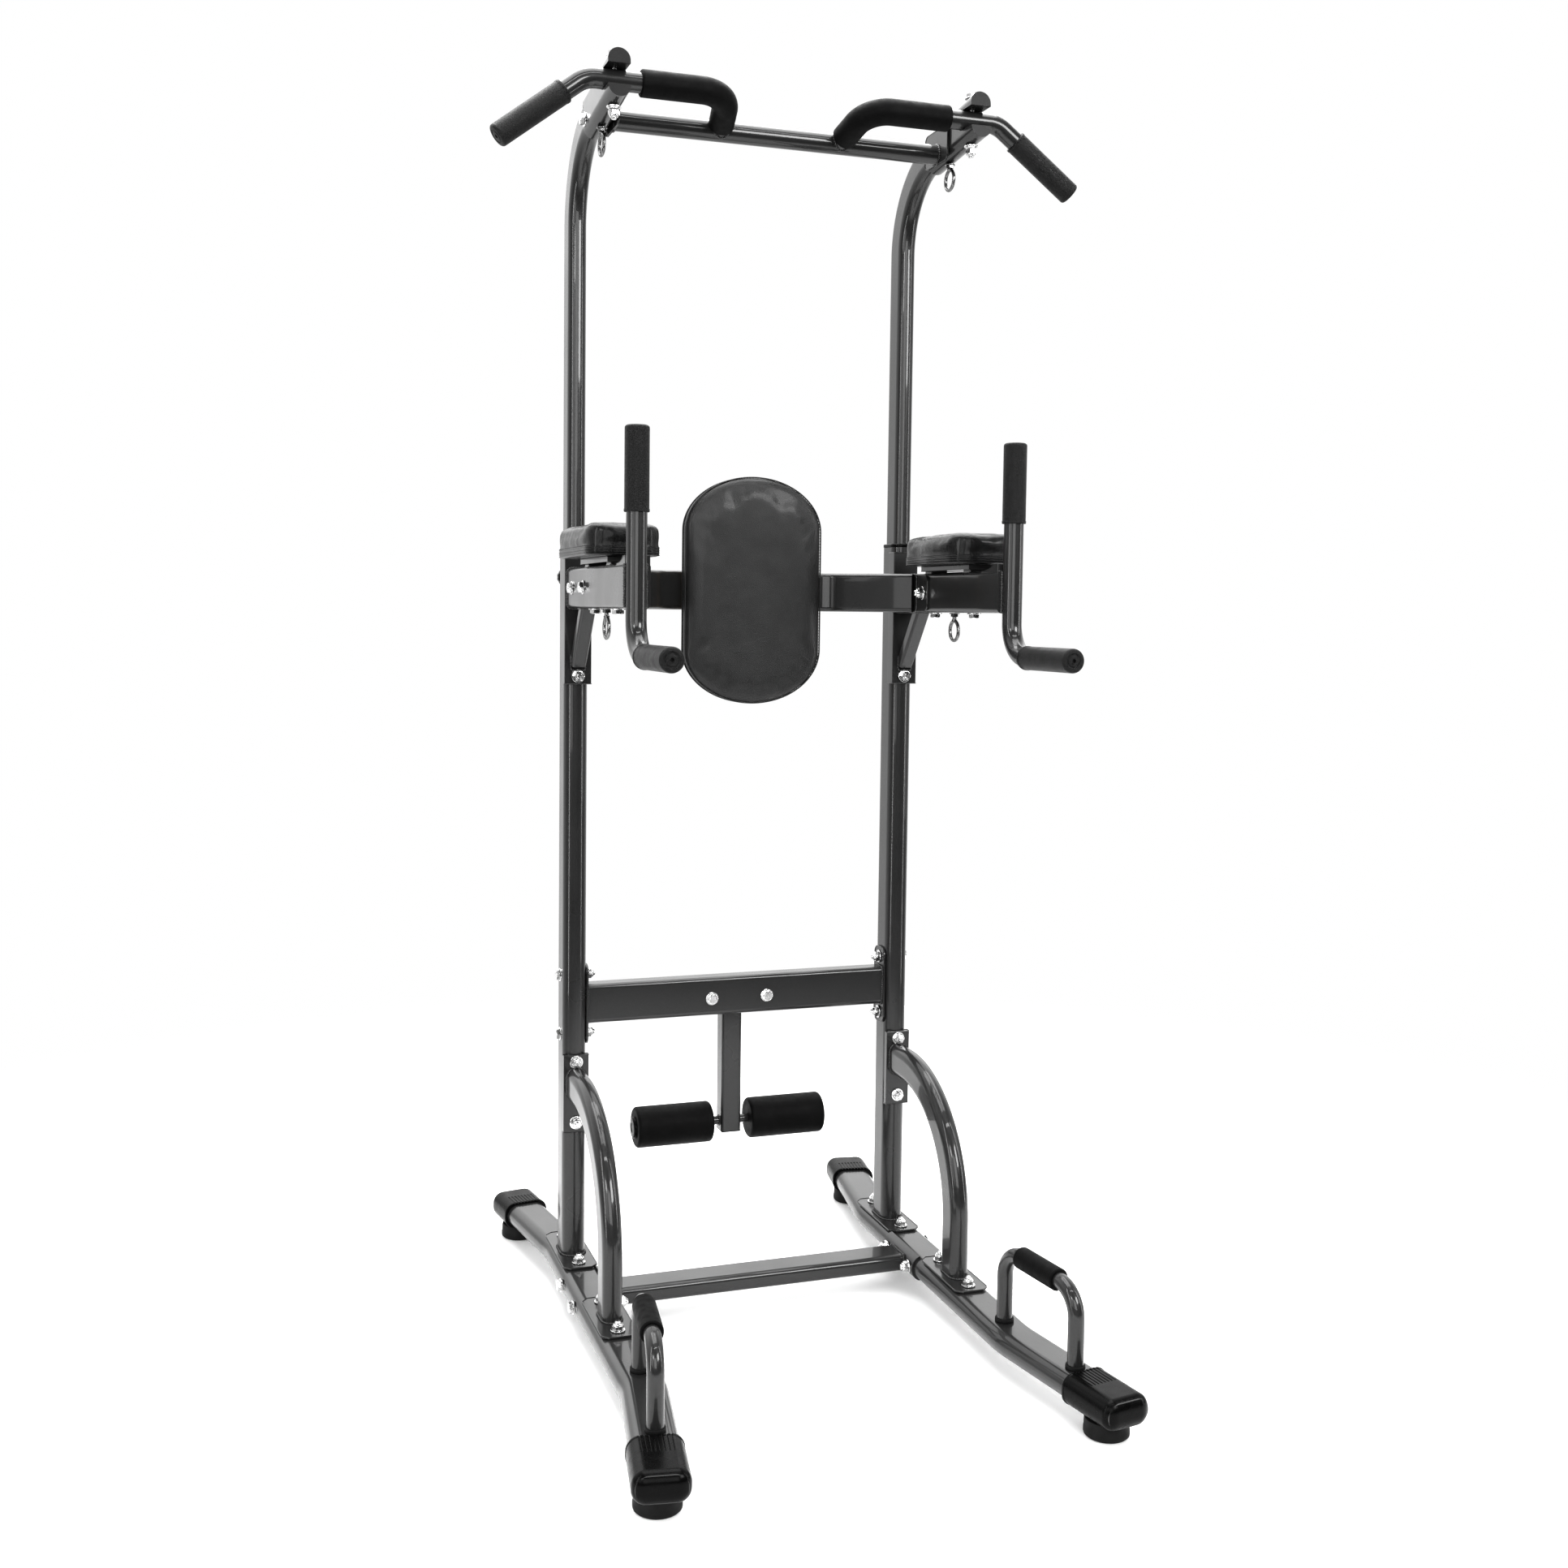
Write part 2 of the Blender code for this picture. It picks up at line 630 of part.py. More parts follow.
def back_outline(inset):
    """The back rest's outline: straight sides, with arched top and bottom."""
    half_width = BACK_PAD_WIDTH / 2 - inset
    half_height = (BACK_PAD_HIGH - BACK_PAD_LOW) / 2 - inset
    centre_z = (BACK_PAD_HIGH + BACK_PAD_LOW) / 2
    power = 2.0
    steps = 8
    points = []
    for quadrant in range(4):
        end_z = BACK_PAD_STRAIGHT if quadrant < 2 else -BACK_PAD_STRAIGHT
        for step in range(steps + 1):
            angle = math.pi / 2 * (quadrant + step / steps)
            across = math.copysign(abs(math.cos(angle)) ** (2 / power), math.cos(angle))
            along = math.copysign(abs(math.sin(angle)) ** (2 / power), math.sin(angle))
            point = Vector((half_width * across,
                            centre_z + end_z + (half_height - BACK_PAD_STRAIGHT) * along))
            if not points or (point - points[-1]).length > 1e-5:
                points.append(point)
    if (points[0] - points[-1]).length < 1e-5:
        points.pop()
    return [tuple(point) for point in points]


def back_pad():
    """A plain solid of the back pad's size."""
    rear_y = BACK_BEAM_Y - BEAM_DEPTH / 2 - BOARD_THICK - 2 * GAP
    thick = rear_y - BACK_PAD_FRONT_Y
    pad = plate(back_outline(0.0), thick, front_plane(BACK_PAD_FRONT_Y + thick / 2))
    bevel = pad.modifiers.new("Soft edge", 'BEVEL')
    bevel.width = 0.012
    bevel.segments = 2
    bevel.limit_method = 'ANGLE'
    bevel.angle_limit = math.radians(60)
    return pad


def back_pad_board():
    """The plywood board between the back pad and its beam."""
    middle_y = BACK_BEAM_Y - BEAM_DEPTH / 2 - GAP - BOARD_THICK / 2
    return plate(back_outline(0.006), BOARD_THICK, front_plane(middle_y))


def back_beam():
    """The bent beam behind the back rest, with a flange on each arm."""
    reach = ARM_X - ARM_WIDTH / 2 - GAP
    end_y = 0.110
    path = fillet_path(flat([(-reach + 0.002, end_y), (-0.160, BACK_BEAM_Y), (0.160, BACK_BEAM_Y),
                             (reach - 0.002, end_y)]), 0.070)
    beam = section_tube(rounded_outline(BEAM_DEPTH, ARM_HEIGHT, 0.008), path, floor_plane(ARM_Z))
    for side, _ in SIDES:
        outline = [(end_y + point[0], ARM_Z + point[1])
                   for point in rounded_outline(0.130, 0.066, 0.014)]
        weld(beam, plate(outline, PLATE, side_plane(side * (reach - PLATE / 2))))
    return cut(beam, box((reach, -0.1, 1.1), (0.4, 0.3, 1.4)), box((-0.4, -0.1, 1.1), (-reach, 0.3, 1.4)))


def eye_bolt(x, y, top_z, ring_z):
    """A wire eye with its shank and washer, hanging from a flat underside."""
    bpy.ops.mesh.primitive_torus_add(major_radius=RING_RADIUS, minor_radius=RING_WIRE,
                                     major_segments=16, minor_segments=6)
    eye = bpy.context.object
    eye.data.transform(Matrix.Translation((x, y, ring_z)) @ Matrix.Rotation(math.pi / 2, 4, 'Y'))
    weld(eye, rod((x, y, ring_z + RING_RADIUS), (x, y, top_z), 0.004, 16))
    return weld(eye, rod((x, y, top_z - 0.003), (x, y, top_z), 0.009, 16))


# ---- telescoping top ----
def sleeve_z(y):
    """Height of the top sleeve's centreline at this Y."""
    return BAR_Z - 0.002 + (BAR_Y - y) * math.tan(SLEEVE_SLOPE)


def upper_upright(side):
    """The sliding tube that curves forward at its top, with its row of adjusting holes."""
    slope = math.tan(SLEEVE_SLOPE)
    start = Vector((SLEEVE_START_Y, sleeve_z(SLEEVE_START_Y)))
    knee_z = start.y - (UPRIGHT_Y - start.x) * slope
    forward = Vector((-math.cos(SLEEVE_SLOPE), math.sin(SLEEVE_SLOPE)))
    end = start - forward * GAP
    path = fillet_path(flat([(UPRIGHT_Y, UPPER_BOTTOM), (UPRIGHT_Y, knee_z), end]), UPPER_BEND)
    tube = section_tube(oval_outline(UPPER_DEPTH, UPPER_WIDTH), path, side_plane(side * RAIL_X))
    for index in range(HOLE_COUNT):
        z = PIN_Z + index * HOLE_PITCH
        cut(tube, rod((side * RAIL_X, UPRIGHT_Y + UPPER_DEPTH / 2 - 0.012, z),
                      (side * RAIL_X, UPRIGHT_Y + UPPER_DEPTH / 2 + 0.010, z),
                      PIN_RADIUS + RUNNING_GAP, 16))
    return tube


def top_sleeve(side):
    """The end tube whose slotted mouth holds a pull-up bar."""
    path = [(SLEEVE_START_Y, sleeve_z(SLEEVE_START_Y)), (SLEEVE_FRONT_Y, sleeve_z(SLEEVE_FRONT_Y))]
    sleeve = section_tube(oval_outline(SLEEVE_DEPTH, SLEEVE_WIDTH), flat(path),
                          side_plane(side * RAIL_X))
    seat = TUBE_RADIUS + GAP + 0.0003
    x = side * RAIL_X
    seat_hole = rod((x - 0.05, BAR_Y, BAR_Z), (x + 0.05, BAR_Y, BAR_Z), seat)
    mouth = box((x - 0.05, SLEEVE_FRONT_Y - 0.05, BAR_Z - seat), (x + 0.05, BAR_Y, BAR_Z + seat))
    bolt_way = rod((x, BAR_Y, BAR_Z - 0.1), (x, BAR_Y, BAR_Z + 0.1), 0.0045, 16)
    return cut(sleeve, seat_hole, mouth, bolt_way)


def top_crossbar():
    """The round bar between the two sleeves, with a flange at each end."""
    reach = RAIL_X - SLEEVE_WIDTH / 2 - GAP
    bar = rod((-reach + 0.001, CROSSBAR_Y, CROSSBAR_Z), (reach - 0.001, CROSSBAR_Y, CROSSBAR_Z),
              CROSSBAR_RADIUS)
    for side, _ in SIDES:
        outline = [(CROSSBAR_Y + point[0], CROSSBAR_Z + 0.012 + point[1])
                   for point in rounded_outline(0.095, 0.060, 0.012)]
        weld(bar, plate(outline, PLATE, side_plane(side * (reach - PLATE / 2))))
    return bar


def bar_corners(side):
    """The centreline of one pull-up bar, from its outer grip to the crossbar's axis."""
    inner = Vector((side * BAR_INNER_X, BAR_Y, BAR_Z))
    stop = Vector((side * (BAR_INNER_X - 0.016), CROSSBAR_Y, CROSSBAR_Z))
    end_x, end_y, end_z = BAR_END
    return [Vector((side * end_x, end_y, end_z)), Vector((side * BAR_SHOULDER_X, BAR_Y, BAR_Z)),
            inner, stop]


def pull_up_bar(side):
    """One bent pull-up bar: coped to the crossbar, with the hole for its clamp bolt."""
    corners = bar_corners(side)
    outward = (corners[0] - corners[1]).normalized()
    corners[0] = corners[0] - outward * CAP_WALL
    bar = round_tube(fillet_path(corners, 0.050), TUBE_RADIUS)
    x = side * RAIL_X
    coping = rod((0.0, CROSSBAR_Y, CROSSBAR_Z), (side * RAIL_X, CROSSBAR_Y, CROSSBAR_Z),
                 CROSSBAR_RADIUS + GAP)
    return cut(bar, coping, rod((x, BAR_Y, BAR_Z - 0.05), (x, BAR_Y, BAR_Z + 0.05), 0.0045, 16))


def wide_grip(side):
    """The rubber grip on the outer end of a pull-up bar, closed at its end."""
    end, shoulder = bar_corners(side)[:2]
    inward = (shoulder - end).normalized()
    return sleeve_on([end + inward * 0.134, end], GRIP_RADIUS, TUBE_RADIUS, True)


def foam_grip(side):
    """The long foam grip that follows a pull-up bar round its inner bend."""
    _, shoulder, inner, stop = bar_corners(side)
    outer_end = Vector((side * 0.267, BAR_Y, BAR_Z))
    inner_end = inner.lerp(stop, 0.78)
    return sleeve_on(fillet_path([outer_end, inner, inner_end], 0.050), FOAM_RADIUS, TUBE_RADIUS)


def clamp_bolt(side):
    """The long bolt through a top sleeve and its pull-up bar, with head, washers and nut."""
    x = side * RAIL_X
    slope = math.tan(SLEEVE_SLOPE)
    half = SLEEVE_DEPTH / 2 / math.cos(SLEEVE_SLOPE)
    centre_z = sleeve_z(BAR_Y)
    washer_radius = 0.010
    top = centre_z + half + washer_radius * slope + GAP
    low = centre_z - half - washer_radius * slope - GAP
    bolt = rod((x, BAR_Y, low - 0.014), (x, BAR_Y, top + 0.002), PIN_RADIUS, 16)
    weld(bolt, rod((x, BAR_Y, top), (x, BAR_Y, top + 0.002), washer_radius))
    weld(bolt, rod((x, BAR_Y, top + 0.0015), (x, BAR_Y, top + 0.008), 0.0075, 6))
    weld(bolt, rod((x, BAR_Y, low - 0.002), (x, BAR_Y, low), washer_radius))
    return weld(bolt, rod((x, BAR_Y, low - 0.010), (x, BAR_Y, low - 0.0015), 0.0075, 6))


def lock_knob(side):
    """A pull pin with its round knob, drawn out of its hole."""
    tip_y = UPRIGHT_Y + UPPER_DEPTH / 2 + 0.0015
    wall_y = UPRIGHT_Y + LOWER_DEPTH / 2
    knob_start = wall_y + 0.016
    profile = [(0.0, 0.022), (0.013, 0.022), (0.0165, 0.018), (0.0165, 0.006), (0.012, 0.0),
               (0.0, 0.0)]
    x = side * RAIL_X
    turn = Matrix.Rotation(-math.pi / 2, 4, 'X')
    knob = turned(profile, Matrix.Translation((x, knob_start, PIN_Z)) @ turn)
    weld(knob, rod((x, tip_y, PIN_Z), (x, knob_start + 0.002, PIN_Z), PIN_RADIUS, 16))
    return knob


# ---- assembly ----
def build_base():
    for side, word in SIDES:
        keep(rail_shape(side, 0.0), "base_rail_" + word, "frame_paint")
        keep(end_cap(side, -1, FRONT_CAP_LENGTH), "front_cap_" + word, "black_plastic")
        keep(end_cap(side, 1, REAR_CAP_LENGTH), "rear_cap_" + word, "black_plastic")
        for end, where in ((-1, "front"), (1, "rear")):
            place = (side * FOOT_X, end * FOOT_Y, 0.0)
            piece = foot()
            piece.data.transform(Matrix.Translation(place))
            keep(piece, "foot_" + where + "_" + word, "pebbled_rubber", place)
        keep(round_tube(push_up_path(side), HANDLE_RADIUS), "push_up_handle_" + word, "frame_paint")
        keep(push_up_grip(side), "push_up_grip_" + word, "foam")
    keep(base_crossbeam(), "base_crossbeam", "frame_paint")


def build_lower_frame():
    for side, word in SIDES:
        keep(lower_upright(side), "lower_upright_" + word, "frame_paint")
        keep(height_bushing(side), "height_bushing_" + word, "black_plastic")
        keep(brace(side), "brace_" + word, "frame_paint")
        axle = (0.0, roller_y(), ROLLER_Z)
        keep(foam_roller(side), "foam_roller_" + word, "foam", axle)
        keep(roller_end_cap(side), "roller_end_cap_" + word, "black_plastic", axle)
    keep(middle_crossbeam(), "middle_crossbeam", "frame_paint")
    keep(roller_post(), "roller_post", "frame_paint")


def build_arms():
    for side, word in SIDES:
        keep(arm(side), "arm_" + word, "frame_paint")
        keep(round_tube(dip_path(side), TUBE_RADIUS), "dip_handle_" + word, "frame_paint")
        keep(hand_grip(side), "hand_grip_" + word, "pebbled_rubber")
        keep(dip_grip(side), "dip_grip_" + word, "pebbled_rubber")
        keep(arm_pad(side), "arm_pad_" + word, "leatherette")
        under = ARM_Z - ARM_HEIGHT / 2 - GAP
        keep(eye_bolt(side * ARM_X, -0.021, under, 1.205), "arm_eye_bolt_" + word, "zinc")
    keep(back_beam(), "back_beam", "frame_paint")
    keep(back_pad_board(), "back_pad_board", "plywood")
    keep(back_pad(), "back_pad", "leatherette")


def build_top():
    for side, word in SIDES:
        keep(upper_upright(side), "upper_upright_" + word, "frame_paint")
        keep(top_sleeve(side), "top_sleeve_" + word, "frame_paint")
        keep(pull_up_bar(side), "pull_up_bar_" + word, "frame_paint")
        keep(wide_grip(side), "wide_grip_" + word, "pebbled_rubber")
        keep(foam_grip(side), "foam_grip_" + word, "foam")
        keep(clamp_bolt(side), "clamp_bolt_" + word, "zinc")
        under = sleeve_z(0.033) - SLEEVE_DEPTH / 2 / math.cos(SLEEVE_SLOPE) - 0.0015
        keep(eye_bolt(side * RAIL_X, 0.033, under, 1.990), "top_eye_bolt_" + word, "zinc")
        keep(lock_knob(side), "lock_knob_" + word, "black_plastic", (side * RAIL_X, UPRIGHT_Y, PIN_Z))
    keep(top_crossbar(), "top_crossbar", "frame_paint")


clear_scene()
PARTS = new_collection("power_tower")
build_base()
build_lower_frame()
build_arms()
build_top()
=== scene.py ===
"""Looks of the power tower: fine surfaces, fasteners, welds, padding, materials, light and camera.

Metres, +Z up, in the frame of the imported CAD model. "left" pieces lie at -X and "right" ones at +X, and
the user stands on the -Y side. Shapes are made as shells: a shell is a list of points and a list of faces.
"""

from math import cos, pi, radians, sin, sqrt, tan

import bmesh
import bpy
from mathutils import Matrix, Vector, noise


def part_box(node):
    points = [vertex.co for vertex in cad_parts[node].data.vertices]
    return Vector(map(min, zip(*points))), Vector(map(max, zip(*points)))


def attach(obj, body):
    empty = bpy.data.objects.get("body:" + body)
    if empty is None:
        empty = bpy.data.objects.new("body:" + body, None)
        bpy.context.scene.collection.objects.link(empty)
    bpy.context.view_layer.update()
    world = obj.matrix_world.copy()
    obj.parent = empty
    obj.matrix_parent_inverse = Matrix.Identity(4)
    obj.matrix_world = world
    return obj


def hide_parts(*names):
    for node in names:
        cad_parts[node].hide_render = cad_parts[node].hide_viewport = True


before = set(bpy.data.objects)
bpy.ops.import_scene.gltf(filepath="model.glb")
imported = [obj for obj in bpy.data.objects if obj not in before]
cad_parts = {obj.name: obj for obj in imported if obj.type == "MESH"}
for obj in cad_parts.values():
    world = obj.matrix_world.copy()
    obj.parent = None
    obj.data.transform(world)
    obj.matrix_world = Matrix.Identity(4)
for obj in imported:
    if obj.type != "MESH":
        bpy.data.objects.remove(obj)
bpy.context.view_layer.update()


# ---- places that the frame gives ----
def low(node):
    """Lowest corner of a CAD node."""
    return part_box(node)[0]


def high(node):
    """Highest corner of a CAD node."""
    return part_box(node)[1]


def middle(node):
    """Centre of a CAD node's box."""
    return (low(node) + high(node)) / 2


GAP = 0.0003                # between pieces that touch
RUNNING_GAP = 0.0006        # round shafts that move
PLATE = 0.004
CAP_WALL = 0.005
UP = Vector((0, 0, 1))
AHEAD = Vector((0, 1, 0))
ACROSS = Vector((1, 0, 0))

# The base.
RAIL_X, UPRIGHT_Y = middle("lower_upright_right").xy
RAIL_Z = middle("base_rail_right").z
RAIL_TOP = high("base_rail_right").z
RAIL_HEIGHT = 2 * (RAIL_TOP - RAIL_Z)
RAIL_WIDTH = 0.075
RAIL_BEND_Y = 0.300
RAIL_BEND = 0.25
RAIL_END_X = 0.357
RAIL_END_Y = 0.590 - CAP_WALL - GAP
BASE_BEAM_Y = middle("base_crossbeam").y
BASE_BEAM_Z = RAIL_Z - 0.002
BASE_BEAM_DEPTH = 0.064
BASE_BEAM_HEIGHT = 0.030
HANDLE_RADIUS = 0.013
HANDLE_GRIP_Z = middle("push_up_grip_right").z
HANDLE_POSTS = (Vector((0.335, -0.462)), Vector((0.309, -0.270)))
PLATE_Z = RAIL_TOP + GAP
BASE_PLATE_HALF = 0.031
BASE_BOLT_STEP = 0.050
# Each end cap: which end of the rail, its name and its length.
END_CAPS = ((-1, "front", 0.106), (1, "rear", 0.083))

# The uprights and their pins.
LOWER_WIDTH = 0.042
LOWER_DEPTH = 0.072
LOWER_WALL = 0.002
LOWER_TOP = high("lower_upright_right").z
UPPER_WIDTH = 0.032
UPPER_DEPTH = 0.061
UPPER_BOTTOM = low("upper_upright_right").z
UPPER_BEND = 0.155
FRONT_FACE_Y = UPRIGHT_Y - LOWER_DEPTH / 2
REAR_FACE_Y = UPRIGHT_Y + LOWER_DEPTH / 2
PIN_Z = middle("lock_knob_right").z
PIN_RADIUS = 0.004
PIN_HOLE = PIN_RADIUS + RUNNING_GAP
KNOB_LENGTH = 0.022
HOLE_PITCH = 0.050
HOLE_COUNT = 6

# The braces, the middle beam and the rollers.
BRACE_WIDTH = 0.034
BRACE_DEPTH = 0.060
BRACE_Y = -0.072
BRACE_TOP = 0.390
BRACE_BEND = 0.220
BRACE_BOLTS = (0.430, 0.321)
SADDLE_LOW, SADDLE_HIGH = 0.303, 0.443
SADDLE_HALF = 0.0235
MIDDLE_BEAM_Z = middle("middle_crossbeam").z
MIDDLE_BEAM_HEIGHT = 0.071
MIDDLE_BEAM_DEPTH = 0.038
FLANGE_BOLT_STEP = 0.0535
POST_BOLT_X = 0.053
MIDDLE_BEAM_REAR_Y = UPRIGHT_Y + MIDDLE_BEAM_DEPTH / 2 + GAP
POST_WIDTH = 0.038
ROLLER = middle("roller_end_cap_right")
ROLLER_RADIUS = 0.0375
ROLLER_INNER_X = low("foam_roller_right").x
ROLLER_OUTER_X = high("foam_roller_right").x
AXLE_RADIUS = 0.008

# The arms, their pads and handles, and the back rest.
ARM_X = RAIL_X
ARM_BOLTS = (0.065, 0.155)
STRUT_FOOT_Z = 1.140
STRUT_TOP_Y = 0.120
ARM_Z = middle("back_beam").z
ARM_HEIGHT = 0.070
ARM_WIDTH = 0.040
ARM_TOP = ARM_Z + ARM_HEIGHT / 2
ARM_BOTTOM = ARM_Z - ARM_HEIGHT / 2
BRACKET_Y = FRONT_FACE_Y - GAP - PLATE
BRACKET_LOW = low("arm_right").z
BRACKET_HIGH = high("arm_right").z
PAD_LOW, PAD_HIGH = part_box("arm_pad_right")
PAD_BOLTS = (0.060, -0.100)
TUBE_RADIUS = 0.016
GRIP_RADIUS = 0.0195
DIP_X = middle("dip_handle_right").x
DIP_Y = high("dip_handle_right").y - TUBE_RADIUS
DIP_LOW = low("dip_handle_right").z + TUBE_RADIUS
BEAM_DEPTH = 0.036
BACK_BEAM_Y = high("back_beam").y - BEAM_DEPTH / 2
BACK_BEAM_END_Y = 0.110
BACK_LOW, BACK_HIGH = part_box("back_pad")
BACK_STRAIGHT = 0.105
STITCH_PITCH = 0.0052
STITCH_LENGTH = 0.0036
THREAD_RADIUS = 0.00045

# The sliding top.
SLEEVE_SLOPE = radians(6.0)
SLEEVE_START_Y = 0.094
SLEEVE_FRONT_Y = -0.090
SLEEVE_WIDTH = 0.036
SLEEVE_DEPTH = 0.077
BAR_Y = -0.052
BAR_Z = 2.068
BAR_END = Vector((0.497, -0.059, 1.960))
BAR_BEND = 0.050
WIDE_GRIP_LENGTH = 0.134
FOAM_START_X = 0.267
BAR_INNER_X = 0.122
CROSSBAR_Y = middle("top_crossbar").y
CROSSBAR_Z = 2.034
CROSSBAR_RADIUS = 0.017
RING_RADIUS = 0.017
RING_WIRE = 0.003

LEFT, RIGHT = -1, 1
SIDES = ((LEFT, "left"), (RIGHT, "right"))


# ---- shells ----
def loft(rings, closed=False):
    """Faces between neighbouring rings, with a cap at each end. A ring of one point is a tip."""
    points = []
    faces = []
    starts = []
    for ring in rings:
        starts.append(len(points))
        points.extend(Vector(point) for point in ring)
    for row in range(len(rings) if closed else len(rings) - 1):
        after = (row + 1) % len(rings)
        lower, upper = len(rings[row]), len(rings[after])
        count = max(lower, upper)
        for step in range(count):
            turn = (step + 1) % count
            corners = (starts[row] + step % lower, starts[row] + turn % lower,
                       starts[after] + turn % upper, starts[after] + step % upper)
            faces.append(tuple(dict.fromkeys(corners)))
    if not closed:
        if len(rings[0]) > 1:
            faces.append(tuple(range(len(rings[0]))))
        if len(rings[-1]) > 1:
            faces.append(tuple(range(starts[-1], len(points))))
    return points, faces


def moved(shell, matrix):
    """A shell carried by a matrix."""
    points, faces = shell
    return [matrix @ point for point in points], faces


def rounded_outline(width, height, corner, steps=8):
    """A rectangle with round corners, counter-clockwise, centred on the origin."""
    points = []
    for quadrant in range(4):
        centre_x = (width / 2 - corner) * (1 if quadrant in (0, 3) else -1)
        centre_y = (height / 2 - corner) * (1 if quadrant in (0, 1) else -1)
        for step in range(steps + 1):
            angle = pi / 2 * (quadrant + step / steps)
            point = Vector((centre_x + corner * cos(angle), centre_y + corner * sin(angle)))
            if not points or (point - points[-1]).length > 1e-5:
                points.append(point)
    if (points[0] - points[-1]).length < 1e-5:
        points.pop()
    return points


def oval(depth, width, extra=0.0):
    """Flat-oval tube section: round on its narrow edges."""
    depth = depth + 2 * extra
    width = width + 2 * extra
    return rounded_outline(depth, width, min(depth, width) / 2 - 0.00002, 14)


def turns(count):
    """Evenly spaced angles once round."""
    return [2 * pi * step / count for step in range(count)]


def circle(radius, sides=32):
    """A round outline."""
    return [Vector((radius * cos(angle), radius * sin(angle))) for angle in turns(sides)]


def inset(points, distance):
    """A counter-clockwise outline drawn in by this distance."""
    result = []
    for index, point in enumerate(points):
        incoming = (point - points[index - 1]).normalized()
        outgoing = (points[(index + 1) % len(points)] - point).normalized()
        before = Vector((-incoming.y, incoming.x))
        after = Vector((-outgoing.y, outgoing.x))
        result.append(point + (before + after) / (1 + before.dot(after)) * distance)
    return result


def shifted(points, x, y):
    """An outline moved in its own plane."""
    return [point + Vector((x, y)) for point in points]


def side_plane(x):
    """Placement of a drawing whose axes are Y and Z, at this X."""
    return Matrix(((0, 0, 1, x), (1, 0, 0, 0), (0, 1, 0, 0), (0, 0, 0, 1)))


def floor_plane(z):
    """Placement of a drawing whose axes are X and Y, at this height."""
    return Matrix.Translation((0, 0, z))


def front_plane(y):
    """Placement of a drawing whose axes are X and Z, at this Y. Its own Z runs along -Y."""
    return Matrix(((1, 0, 0, 0), (0, 0, -1, y), (0, 1, 0, 0), (0, 0, 0, 1)))


def placed(points, placement, depth=0.0):
    """An outline's points in space, at a depth along its drawing's own Z."""
    return [placement @ Vector((point.x, point.y, depth)) for point in points]


def outline_at(points, first, second, placement):
    """An outline moved in its own plane, then set in space."""
    return placed(shifted(points, first, second), placement)


def plate(points, thickness, placement, edge=0.0008):
    """A plate with rounded edges, centred on its drawing's plane."""
    rings = []
    for face in (-1, 1):
        for step in (0, 1, 2)[::-face]:
            angle = pi / 4 * step
            depth = thickness / 2 - edge * (1 - sin(angle))
            rings.append(placed(inset(points, edge * (1 - cos(angle))), placement, face * depth))
    return loft(rings)


def flange(side, reach, size, y, z):
    """A plate with round corners against a wall at this reach. size is its depth, height and corner."""
    outline = shifted(rounded_outline(*size), y, z)
    return plate(outline, PLATE, side_plane(side * (reach - PLATE / 2)))


def box(first, second, edge=0.0008):
    """A box between two corners, with rounded edges."""
    first, second = Vector(first), Vector(second)
    centre = (first + second) / 2
    width, depth, height = (abs(value) for value in second - first)
    outline = shifted(rounded_outline(width, depth, edge * 1.8, 3), centre.x, centre.y)
    return plate(outline, height, floor_plane(centre.z), edge)


def block(first, second):
    """A sharp-edged box between two corners, used only to cut with."""
    near, far = Vector(first), Vector(second)
    rings = [[(near.x, near.y, z), (far.x, near.y, z), (far.x, far.y, z), (near.x, far.y, z)]
             for z in (near.z, far.z)]
    return loft(rings)


def fillet_path(corners, radius, steps=20):
    """A path through the corners, with an arc of the given radius at each inner one."""
    corners = [Vector(corner) for corner in corners]
    path = [corners[0]]
    for before, corner, after in zip(corners, corners[1:], corners[2:]):
        incoming = (corner - before).normalized()
        outgoing = (after - corner).normalized()
        turn = incoming.angle(outgoing)
        centre = corner + (outgoing - incoming).normalized() * radius / cos(turn / 2)
        spoke = corner - incoming * radius * tan(turn / 2) - centre
        axis = incoming.cross(outgoing).normalized()
        for step in range(steps + 1):
            path.append(centre + Matrix.Rotation(turn * step / steps, 3, axis) @ spoke)
    path.append(corners[-1])
    return path


def resampled(path, spacing, closed=False):
    """The same path with evenly spaced points."""
    path = [Vector(point) for point in path]
    if closed:
        path.append(path[0])
    lengths = [(after - before).length for before, after in zip(path, path[1:])]
    count = max(3, round(sum(lengths) / spacing))
    step = sum(lengths) / count
    result = [path[0]]
    leg = 0
    travelled = 0.0
    for index in range(1, count + (0 if closed else 1)):
        target = min(index * step, sum(lengths) - 1e-9)
        while travelled + lengths[leg] < target:
            travelled += lengths[leg]
            leg += 1
        share = (target - travelled) / lengths[leg]
        result.append(path[leg].lerp(path[leg + 1], share))
    return result


def sweep(outline, path, up=None, scales=None, closed=False):
    """Carry an outline along a path. Its X is square to up, or turns as little as it can."""
    path = [Vector(point) for point in path]
    rings = []
    across = None
    last = len(path) - 1
    for index, point in enumerate(path):
        before = path[index - 1] if index or closed else point
        after = path[(index + 1) % len(path)] if index < last or closed else point
        ahead = (after - before).normalized()
        if up is not None:
            across = ahead.cross(up).normalized()
        elif across is None:
            across = ahead.orthogonal().normalized()
        else:
            across = (across - ahead * across.dot(ahead)).normalized()
        other = across.cross(ahead)
        scale = scales[index] if scales else 1.0
        rings.append([point + (across * knot.x + other * knot.y) * scale for knot in outline])
    return loft(rings, closed)


def round_tube(path, radius, sides=32):
    """A round bar along a path in space."""
    return sweep(circle(radius, sides), path)


